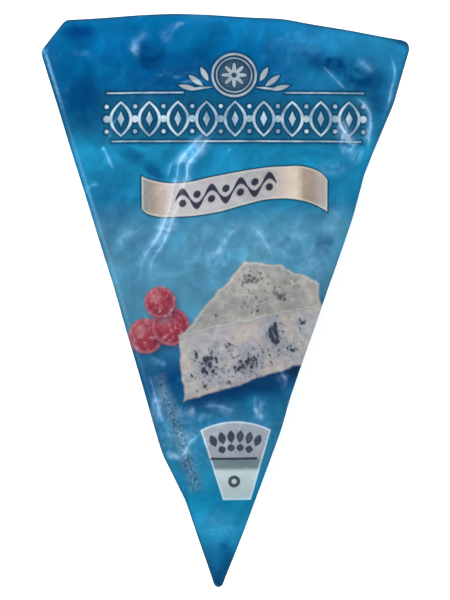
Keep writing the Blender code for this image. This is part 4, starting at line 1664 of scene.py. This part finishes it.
# %% Berries
BERRIES = (  # centre, radius
    ((-16.6, -7.4), 3.7),
    ((-11.4, -5.4), 4.0),
    ((-13.6, -0.4), 3.3),
)
RED_BERRY = ink(158, 62, 78)
DARK_BERRY = ink(112, 38, 58)
PALE_BERRY = ink(205, 150, 155)
BERRY_SHADOW_INK = ink(22, 44, 80)
BERRY_SHADOW_SHIFT = (0.5, -0.8)


def berries(colour, place, x, y):
    """The berries with their shadows, over what is there already."""
    seeds = film_noise(place, 0.9, detail=2.0, seed=12.5)
    for centre, radius in BERRIES:
        shape = disc(x, y, centre, radius)
        under = (centre[0] + BERRY_SHADOW_SHIFT[0], centre[1] + BERRY_SHADOW_SHIFT[1])
        colour = lay(colour, inside(disc(x, y, under, radius), 1.6), BERRY_SHADOW_INK, 0.6)
        glint = (centre[0] - radius * 0.3, centre[1] + radius * 0.35)
        skin = lay(RED_BERRY, inside(-1 * disc(x, y, glint, radius), radius), DARK_BERRY, 0.8)
        skin = lay(skin, stretched(seeds, 6.0, -3.2), PALE_BERRY, 0.6)
        skin = lay(skin, stretched(seeds, -6.0, 2.7), DARK_BERRY, 0.7)
        skin = lay(skin, inside(disc(x, y, glint, radius * 0.3), 1.6), PALE_BERRY, 0.4)
        skin = lay(skin, inside(abs(shape + 0.3) - 0.25, 0.6), PALE_BERRY, 0.3)
        colour = lay(colour, inside(shape, 0.4), skin)
    return colour


print(f"{len(BERRIES)} berries, {2 * BERRIES[2][1]:.1f} to {2 * BERRIES[1][1]:.1f} mm wide")

# %% [markdown]
# Blue mould grows through the cheese in clusters, strongest on the cut face. A cluster is a soft
# patch once more, kept on the mesh as an attribute, and the material will break it up into dabs.

# %% Clusters of mould
# Where mould grows: x, y, half length, half width, turn in degrees, strength.
MOULD = (
    (4.0, -13.0, 13.0, 3.6, 18, 0.40),
    (-6.6, -11.4, 1.4, 1.2, 0, 0.9),
    (-3.4, -13.4, 1.9, 3.2, -20, 1.1),
    (0.6, -9.6, 1.5, 1.1, 30, 0.8),
    (4.2, -13.4, 3.4, 1.7, 25, 1.0),
    (10.4, -7.2, 1.8, 3.4, 10, 1.1),
    (13.8, -10.0, 1.3, 1.2, 0, 0.8),
    (-4.8, -18.2, 1.4, 0.9, 20, 0.8),
    (0.8, -17.0, 1.2, 0.8, 20, 0.7),
    (16.0, -4.8, 1.2, 1.4, 0, 0.8),
    (-7.4, -15.6, 0.7, 0.8, 0, 0.8),
    (5.4, 4.6, 2.8, 1.5, 20, 0.85),
    (11.0, 1.2, 2.4, 1.4, -30, 0.8),
    (8.0, 2.0, 8.0, 4.0, 10, 0.32),
    (14.6, 3.6, 1.2, 0.8, 0, 0.6),
    (-1.6, -3.0, 1.2, 0.8, 30, 0.6),
    (6.2, -2.2, 1.4, 0.8, 10, 0.6),
)
keep_on_lid("mould", patch_field(lid_places, MOULD))
print(f"{len(MOULD)} clusters of mould")

# %% [markdown]
# The pictured wedge is two facets, its greyish top and its pale cut face, both crumbly at their
# edges. Scattered dots are drawn larger where the mould is strong and vanish outside it. Pits and
# grains come from one noise: its low values are pits and its high ones are grains.

# %% The pictured wedge
WEDGE_TOP = ((-9.6, -7.6), (20.0, -1.0), (19.4, 3.6), (11.6, 7.4), (4.0, 8.2))
WEDGE_FACE = ((-9.6, -7.6), (-8.6, -21.0), (17.2, -12.9), (20.0, -1.0))
CHEESE_GREY = ink(164, 165, 170)
CHEESE_CREAM = ink(194, 182, 170)
CHEESE_BLUISH = ink(150, 156, 168)
CHEESE_TOP_GREY = ink(148, 150, 148)
CHEESE_TOP_CREAM = ink(180, 173, 164)
VEIN = ink(30, 34, 54)
PIT_INK, GRAIN_INK = ink(116, 118, 132), ink(214, 208, 200)
TOP_PIT_INK, TOP_GRAIN_INK = ink(112, 116, 118), ink(206, 202, 194)
TOP_EDGE_INK = ink(200, 196, 190)
WEDGE_SHADOW_INK = ink(16, 48, 92)
CORNER_SHADOW_INK = ink(30, 42, 54)
WEDGE_SHADOW_SHIFT = (0.8, -2.2)
CORNER_SHADOW = (14.4, -14.6)
CRUMBLE = 1.6  # how far noise moves the wedge's edges
DAB_SIZE = 0.85  # how far apart the dabs of mould lie
DAB_RAGGED = 1.2
DAB_GROWTH = 0.66  # the share of that distance which a dab reaches where the mould is strongest


def shifted(place, x, y, size, wavelength, seeds, detail):
    """x and y, each moved by a noise, and the first of these noises, from about -0.5 to 0.5."""
    by_x, by_y = (film_noise(place, wavelength, detail=detail, seed=seed) - 0.5 for seed in seeds)
    return x + size * by_x, y + size * by_y, by_x


def mould_dabs(place, x, y, clusters):
    """The mask of the mould: dabs that are larger where a cluster is strong."""
    x, y, _ = shifted(place, x, y, DAB_RAGGED, 0.9, (36.0, 37.0), 2.0)
    dab = dabs(x + 0.5 * y, 0.75 * y - 0.35 * x, DAB_SIZE) - DAB_GROWTH * clusters
    return worked("MINIMUM", inside(dab, 0.36), smooth_step(clusters, 0.02, 0.2))


def pictured_wedge(colour, place, x, y):
    """The wedge of cheese with its shadow, over what is there already."""
    x, y, crumbly = shifted(place, x, y, CRUMBLE, 2.6, (33.0, 35.0), 3.0)
    face, top = facet(x, y, WEDGE_FACE), facet(x, y, WEDGE_TOP)
    shadow = facet(x - WEDGE_SHADOW_SHIFT[0], y - WEDGE_SHADOW_SHIFT[1], WEDGE_FACE)
    colour = lay(colour, inside(shadow, 3.0), WEDGE_SHADOW_INK, 0.75)
    colour = lay(colour, inside(disc(x, y, CORNER_SHADOW, 0.9), 2.0), CORNER_SHADOW_INK, 0.9)
    clusters = attribute("mould")
    mould = mould_dabs(place, x, y, clusters)
    bluish = smooth_step(clusters + 0.5 * crumbly, 0.0, 0.45)
    creamy = stretched(film_noise(place, 5.0, seed=17.9), 4.0, -1.7)
    crumb = film_noise(place, 1.3, detail=4.0, seed=19.3)
    pits, grains = stretched(crumb, -5.0, 2.4), stretched(crumb, 5.0, -2.6)

    cut = lay(CHEESE_GREY, creamy, CHEESE_CREAM, 0.7)
    cut = lay(cut, bluish * (1 - 0.6 * creamy), CHEESE_BLUISH, 0.75)
    cut = lay(cut, stretched(face, 0.5, 0.9) * (0.2 + 0.8 * creamy), CHEESE_CREAM, 0.8)
    cut = lay(lay(cut, pits, PIT_INK, 0.45), grains, GRAIN_INK, 0.4)
    cut = lay(cut, mould, VEIN, 0.9)

    upper = lay(CHEESE_TOP_GREY, creamy, CHEESE_TOP_CREAM, 0.8)
    upper = lay(lay(upper, pits, TOP_PIT_INK, 0.5), grains, TOP_GRAIN_INK, 0.4)
    upper = lay(upper, mould, VEIN, 0.75)
    upper = lay(upper, inside(abs(top + 0.3) - 0.2, 0.4), TOP_EDGE_INK, 0.5)
    colour = lay(colour, inside(top, 0.5), upper)
    return lay(colour, inside(face, 0.5), cut)


print(f"a wedge {WEDGE_TOP[1][0] - WEDGE_TOP[0][0]:.0f} mm wide")

# %% [markdown]
# ## The small label
# Towards the tip a pale label widens like the pack itself. Its head is an arc, its foot is cut
# straight, and a bright line edges it. Two rows of leaves, a rule and a little ring decorate it.
# The rows follow the arc: the angle round the arc's centre gives the place in a row, and its
# fraction repeats one leaf.

# %% Label
LABEL_CENTRE = (2.1, -40.5)  # of its arched head
LABEL_HEAD = 15.4
LABEL_SIDES = ((-0.5, -41.6), (5.3, -41.6), (10.2, -24.6), (-6.0, -24.6))
LABEL_SHADES = (
    (-41.6, ink(168, 196, 204)),
    (-39.6, ink(172, 190, 192)),
    (-36.6, ink(188, 206, 208)),
    (-35.6, ink(188, 206, 208)),
    (-34.8, ink(110, 128, 133)),
    (-33.4, ink(106, 124, 130)),
    (-32.6, ink(150, 154, 162)),
    (-25.0, ink(156, 166, 174)),
)
LABEL_EDGE = ink(190, 224, 243)
LABEL_EDGE_AT, LABEL_EDGE_HALF = 0.22, 0.15
LABEL_RULE = ((-3.1, -33.2), (6.6, -32.68))  # lower left and upper right corner
LABEL_RING = (1.8, -37.7)
LABEL_RING_RADIUS, LABEL_RING_HALF = 0.9, 0.36
LEAF_ROWS = ((12.2, 6, 1.35), (9.9, 4, 0.85))  # radius of the row, leaves in it, half height of a leaf
LEAF_PITCH = 1.9
LEAF_HALF_WIDTH = 0.78


def label(colour, x, y):
    """The label with its ornaments, over what is there already."""
    shape = overlap(facet(x, y, LABEL_SIDES), disc(x, y, LABEL_CENTRE, LABEL_HEAD))
    edge = inside(abs(shape + LABEL_EDGE_AT) - LABEL_EDGE_HALF, 0.25)
    shade = lay(gradient(y, LABEL_SHADES), edge, LABEL_EDGE, 0.75)
    ring = abs(disc(x, y, LABEL_RING, LABEL_RING_RADIUS)) - LABEL_RING_HALF
    marks = nearest(bar(x, y, *LABEL_RULE), ring)
    across, up = x - LABEL_CENTRE[0], y - LABEL_CENTRE[1]
    out = far_from(x, y, LABEL_CENTRE)
    for radius, leaves, half_height in LEAF_ROWS:
        along = worked("ARCTAN2", across, up) * radius + leaves * LEAF_PITCH / 2
        within = (worked("FRACT", along / LEAF_PITCH) - 0.5) * LEAF_PITCH
        one = leaf(out - radius, within, (0.0, 0.0), 0.0, half_height, LEAF_HALF_WIDTH)
        marks = nearest(marks, overlap(one, -1 * along, along - leaves * LEAF_PITCH))
    colour = lay(colour, inside(shape), shade)
    return lay(colour, inside(marks), RIBBON_INK_DARK, 0.88)


print(f"a label {LABEL_CENTRE[1] + LABEL_HEAD - LABEL_SIDES[0][1]:.1f} mm tall")

# %% [markdown]
# Beside the label a column of grey grain runs along the pack's left side. It is a strip whose width
# comes and goes, filled with noise that is fine enough to look like grain.

# %% Grey column
COLUMN_START, COLUMN_END = (-13.8, -16.0), (-6.0, -39.2)
COLUMN_HALF, COLUMN_UNEVEN = 1.1, 1.6
COLUMN_INK, GRAIN_OF_COLUMN_INK = ink(118, 150, 168), ink(22, 54, 78)


def grey_column(colour, place, x, y):
    """The column of grain, over what is there already."""
    run_x, run_y = COLUMN_END[0] - COLUMN_START[0], COLUMN_END[1] - COLUMN_START[1]
    length = math.hypot(run_x, run_y)
    across, up = x - COLUMN_START[0], y - COLUMN_START[1]
    along = across * (run_x / length) + up * (run_y / length)
    aside = up * (run_x / length) - across * (run_y / length)
    bulge = COLUMN_HALF + COLUMN_UNEVEN * (film_noise(place, 4.0, detail=2.0, seed=51.0) - 0.5)
    within = inside(overlap(abs(aside) - bulge, -1 * along, along - length), 1.8)
    colour = lay(colour, within, COLUMN_INK, 0.4)
    grain = stretched(film_noise(place, 0.5, detail=1.0, seed=52.0), -6.0, 3.3)
    return lay(colour, within * grain, GRAIN_OF_COLUMN_INK, 0.85)


print(f"a column {math.dist(COLUMN_START, COLUMN_END):.0f} mm long")

# %% [markdown]
# ## The gloss of the film
# Film is glossy because its surface is smooth. It mirrors lamps and dark walls alike, so its look
# comes more from the studio than from its own colour. The gloss is the shader's own, with a
# roughness that wanders a little and a fine bump for the unevenness that is too small for the mesh.
# The blue film tints what it mirrors.

# %% A new film material and its gloss
GLOSS_TINT = (0.2, 0.72, 1.0, 1.0)
GLOSS_WANDER = 0.14
FILM_IOR = 1.5
BUMP_STRENGTH = 0.35
BUMP_HEIGHT = 0.05


def new_material(name):
    """An empty film material, its tree made current, with its shader and place on the piece."""
    material = bpy.data.materials.new(name)
    material.use_nodes = True
    Field.tree = material.node_tree
    shader = Field.tree.nodes["Principled BSDF"]
    where = Field.tree.nodes.new("ShaderNodeTexCoord").outputs["Object"]
    return material, shader, where


def gloss(shader, place, roughness, specular, seed):
    """Uneven gloss of a film, and a fine bump."""
    uneven = film_noise(place, 3.5, seed=seed)
    wire(shader.inputs["Roughness"], roughness - GLOSS_WANDER / 2 + GLOSS_WANDER * uneven)
    shader.inputs["IOR"].default_value = FILM_IOR
    shader.inputs["Specular Tint"].default_value = GLOSS_TINT
    shader.inputs["Specular IOR Level"].default_value = specular
    bump = Field.tree.nodes.new("ShaderNodeBump")
    bump.inputs["Strength"].default_value = BUMP_STRENGTH
    bump.inputs["Distance"].default_value = BUMP_HEIGHT * MM
    wire(bump.inputs["Height"], film_noise(place, 1.1, detail=2.0, seed=seed + 4))
    wire(shader.inputs["Normal"], bump.outputs["Normal"])


print(f"gloss with a bump of {BUMP_HEIGHT} mm")

# %% [markdown]
# ## The lid's material
# Now the layers go down in a printer's order: ground, pictures, column, label, ribbon and silver.
# What the film does to the print comes last, because it lies over all inks: the painted sheen, the
# painted highlights along the puckers, the whitened lines along the creases, which carry painted
# highlights too, a few stray painted glints, and on the left a painted highlight beside the cut.
# They show less on the ribbon, whose ink is pale anyway. A faint line only lightens the blue, and a
# strong one turns it white, so the white goes with the square of the line's strength.

# %% What the film does to the print
# Inks of painted light: the crests' white, partly whitened ink, the sheen, and the pale line by the cut.
WHITE_AND_HIGHLIGHT_INK = ink(168, 212, 242)
SHEEN_AND_PLEAT_WHITE_INK = ink(156, 186, 214)
RIM_LIGHT_INK = ink(132, 200, 244)
WHITE_LINE = 0.28  # half width of the whitened ink along a crest


def creased_film(colour, place, on_ribbon):
    """Painted sheen, and painted highlights along puckers, whitened creases, stray streaks and the cut,
    over all inks.
    """
    wisps = film_noise(place, 3.6, detail=5.0, seed=61.0, distortion=1.6)
    wisps = stretched(wisps, 3.2, -1.1)
    shows = 1 - 0.6 * on_ribbon
    # Painted sheen.
    painted_sheen = attribute("painted_sheen") * (0.35 + 1.3 * wisps) * shows
    outside_deep = 1 - 0.8 * attribute("deep")
    colour = brighten(colour, worked("MINIMUM", painted_sheen * 1.6, 1.0), 0.4)
    colour = lay(colour, worked("MINIMUM", painted_sheen * painted_sheen * 1.5, 1.0), SHEEN_AND_PLEAT_WHITE_INK)
    # Painted highlights along the puckers.
    colour = brighten(colour, attribute("pucker_highlight_line") * (0.3 + 0.7 * wisps) * outside_deep, 0.22)
    # Whitened crests, which are painted highlights too.
    share = attribute("crest_gap") / WHITE_LINE
    line = attribute("crest_white_and_highlight") / (1 + share * share) * (0.75 + 0.4 * wisps) * shows
    colour = brighten(colour, line, 0.65)
    colour = lay(colour, line * line, WHITE_AND_HIGHLIGHT_INK)
    # Stray painted glints.
    bent = abs(film_noise(place, 6.0, detail=4.0, seed=63.0, distortion=1.5) - 0.5)
    glint_streak = stretched(bent, -26.0, 1.0)
    shown = stretched(film_noise(place, 9.0, detail=2.0, seed=64.0), 7.0, -3.5)
    colour = brighten(colour, glint_streak * shown * (0.3 + 1.4 * attribute("painted_sheen")) * outside_deep, 0.4)
    # Painted highlight beside the cut, on the left.
    return lay(colour, attribute("rim_light") * (0.6 + 0.5 * wisps), RIM_LIGHT_INK)


print(f"the white of a crest is {2 * WHITE_LINE:.2f} mm wide at half its strength")

# %% Put the printed film together
LID_ROUGHNESS, LID_SPECULAR = 0.17, 0.8


def printed_lid_material():
    """All the print's layers, and the film over them."""
    material, shader, place = new_material("printed_lid_film")
    apart = Field.tree.nodes.new("ShaderNodeSeparateXYZ")
    wire(apart.inputs["Vector"], place)
    x, y = Field(apart.outputs["X"]) / MM, Field(apart.outputs["Y"]) / MM
    colour = ground(place, x, y)
    colour = berries(colour, place, x, y)
    colour = pictured_wedge(colour, place, x, y)
    colour = grey_column(colour, place, x, y)
    colour = label(colour, x, y)
    colour, on_ribbon = ribbon(colour, place, x, y)
    colour = silver_ornament(colour, place, x, y)
    wire(shader.inputs["Base Color"], creased_film(colour, place, on_ribbon))
    gloss(shader, place, LID_ROUGHNESS, LID_SPECULAR, 71.0)
    return material


lid_film.data.materials.append(printed_lid_material())
print(f"the lid's material has {len(Field.tree.nodes)} nodes")

# %% [markdown]
# ## The pocket's material
# The pocket is unprinted blue film, a little cloudy. Where it is drawn into a pleat it is whitened
# a bit. Drawing the film hot takes some of its gloss, so the pocket is duller than the lid.

# %% The plain film of the pocket
POCKET_ROUGHNESS, POCKET_SPECULAR = 0.34, 0.3
POCKET_INK, POCKET_CLOUD_INK = ink(10, 98, 158), ink(22, 128, 184)


def pocket_material():
    """Cloudy blue film, whitened in its pleats."""
    material, shader, place = new_material("blue_pocket_film")
    cloudy = stretched(film_noise(place, 9.0, detail=4.0, seed=81.0), 2.0, -0.6)
    colour = lay(POCKET_INK, cloudy, POCKET_CLOUD_INK, 0.8)
    colour = lay(colour, worked("POWER", attribute("pleat"), 3.0), SHEEN_AND_PLEAT_WHITE_INK, 0.25)
    wire(shader.inputs["Base Color"], colour)
    gloss(shader, place, POCKET_ROUGHNESS, POCKET_SPECULAR, 91.0)
    return material


pocket_film.data.materials.append(pocket_material())
print(f"the pocket's material has {len(Field.tree.nodes)} nodes")

# %% [markdown]
# ## Binding the films to the pack's body
# Both films ride on the pack's one body, and its solid is hidden so that they show in its place.

# %% Bind the films to the pack's body
for piece in (lid_film, pocket_film):
    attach(piece, "root")
    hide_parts("cheese_pack")
print("pieces:", lid_film.name, pocket_film.name)

# %% [markdown]
# ## The studio
# The pack lies on a light table, a matte white floor that glows a little and so lifts the shadow
# beside the pack. Glossy film mirrors whatever is above it, and a mirrored lamp would wash out the
# print. So the sheet overhead and the key box are kept out of reflections, as a polarising filter
# does for a photographer, and the sky is dark there. Three more boxes, low round the pack, are
# mirrored only by steep film, so they strike thin highlights from the creases.

# %% Floor
FLOOR_SIDE = 6.0
FLOOR_WHITE = 0.9
FLOOR_GLOW = 0.42  # of a light table


def floor_mesh():
    """The light table: a wide square of matte, faintly glowing paper."""
    mesh = bpy.data.meshes.new("floor")
    half = FLOOR_SIDE / 2
    corners = [(-half, -half, 0), (half, -half, 0), (half, half, 0), (-half, half, 0)]
    mesh.from_pydata(corners, [], [(0, 1, 2, 3)])
    floor = bpy.data.objects.new("floor", mesh)
    bpy.context.scene.collection.objects.link(floor)
    paper = bpy.data.materials.new("white_paper")
    paper.use_nodes = True
    shader = paper.node_tree.nodes["Principled BSDF"]
    shader.inputs["Base Color"].default_value = (FLOOR_WHITE, FLOOR_WHITE, FLOOR_WHITE, 1)
    shader.inputs["Roughness"].default_value = 0.9
    shader.inputs["Specular IOR Level"].default_value = 0.1
    shader.inputs["Emission Color"].default_value = (1, 1, 1, 1)
    shader.inputs["Emission Strength"].default_value = FLOOR_GLOW
    mesh.materials.append(paper)
    return floor


floor_mesh()
print(f"a floor {FLOOR_SIDE:.0f} m wide")

# %% [markdown]
# The lamps are square soft boxes, all at one distance. A box is placed by its bearing and by how far
# it stands off the vertical, and its power follows from its size and from how bright its face is.

# %% Soft boxes
# Name, degrees round from +X, degrees off the vertical, width in degrees, radiance, mirrored by film.
SOFT_BOXES = (
    ("overhead sheet", 0, 0, 60, 2.35, False),
    ("key box", 155, 56, 40, 2.4, False),
    ("glint box", 150, 58, 24, 7.5, True),
    ("fill box", 15, 70, 22, 5.5, True),
    ("rind box", 95, 68, 18, 2.0, True),
)
BOX_DISTANCE = 1.6


def soft_box(name, bearing, off_vertical, width, radiance, mirrored):
    """A square lamp that faces the pack."""
    side = 2 * BOX_DISTANCE * math.tan(math.radians(width / 2))
    light = bpy.data.lights.new(name, "AREA")
    light.shape = "SQUARE"
    light.size = side
    light.energy = radiance * math.pi * side * side
    box = bpy.data.objects.new(name, light)
    tilt, turn = math.radians(off_vertical), math.radians(bearing)
    direction = Vector((math.sin(tilt) * math.cos(turn), math.sin(tilt) * math.sin(turn), math.cos(tilt)))
    box.location = direction * BOX_DISTANCE + Vector((0, 0, SEAL_TOP * MM))
    box.rotation_euler = direction.to_track_quat("Z", "Y").to_euler()
    box.visible_camera = False
    box.visible_glossy = mirrored
    light.cycles.use_multiple_importance_sampling = mirrored
    bpy.context.scene.collection.objects.link(box)


for row in SOFT_BOXES:
    soft_box(*row)
print(f"{len(SOFT_BOXES)} soft boxes, {BOX_DISTANCE:.1f} m away")

# %% [markdown]
# The sky is what the film mirrors between the lamps: dark overhead, for deep colours, and paler
# towards the horizon. Here a ramp's colours are linear light and not inks.

# %% Sky
SKY = (  # from straight down to straight up
    (-1.0, (0.6, 0.6, 0.6, 1)),
    (0.0, (0.75, 0.76, 0.78, 1)),
    (0.45, (0.35, 0.36, 0.38, 1)),
    (0.8, (0.08, 0.085, 0.095, 1)),
    (1.0, (0.05, 0.055, 0.06, 1)),
)


def sky():
    """A world whose colour goes with the height of the direction."""
    world = bpy.data.worlds.new("studio")
    world.use_nodes = True
    Field.tree = world.node_tree
    background = Field.tree.nodes["Background"]
    direction = Field.tree.nodes.new("ShaderNodeTexCoord").outputs["Generated"]
    apart = Field.tree.nodes.new("ShaderNodeSeparateXYZ")
    wire(apart.inputs["Vector"], direction)
    wire(background.inputs["Color"], gradient(Field(apart.outputs["Z"]), SKY))
    bpy.context.scene.world = world


sky()
bpy.context.scene.view_settings.view_transform = "Standard"
print(f"{len(SKY)} colours of sky")

# %% [markdown]
# ## The camera
# The photograph looks straight down on the pack from above, with a long lens, so the camera hangs
# over the middle of the flange. Its height follows from how much it has to take in.

# %% Hang the camera over the pack
LENS = 120.0
SENSOR = 36.0
VIEW_HEIGHT = 125.2  # what the picture's long side takes in, at the height of the seal
VIEW_CENTRE = (-0.1, 0.1)

camera_data = bpy.data.cameras.new("camera")
camera_data.lens = LENS
camera_data.sensor_width = SENSOR
camera = bpy.data.objects.new("camera", camera_data)
camera_height = SEAL_TOP + VIEW_HEIGHT * LENS / SENSOR
camera.location = (VIEW_CENTRE[0] * MM, VIEW_CENTRE[1] * MM, camera_height * MM)
bpy.context.scene.collection.objects.link(camera)
bpy.context.scene.camera = camera
print(f"the camera hangs {camera_height:.0f} mm above the floor")
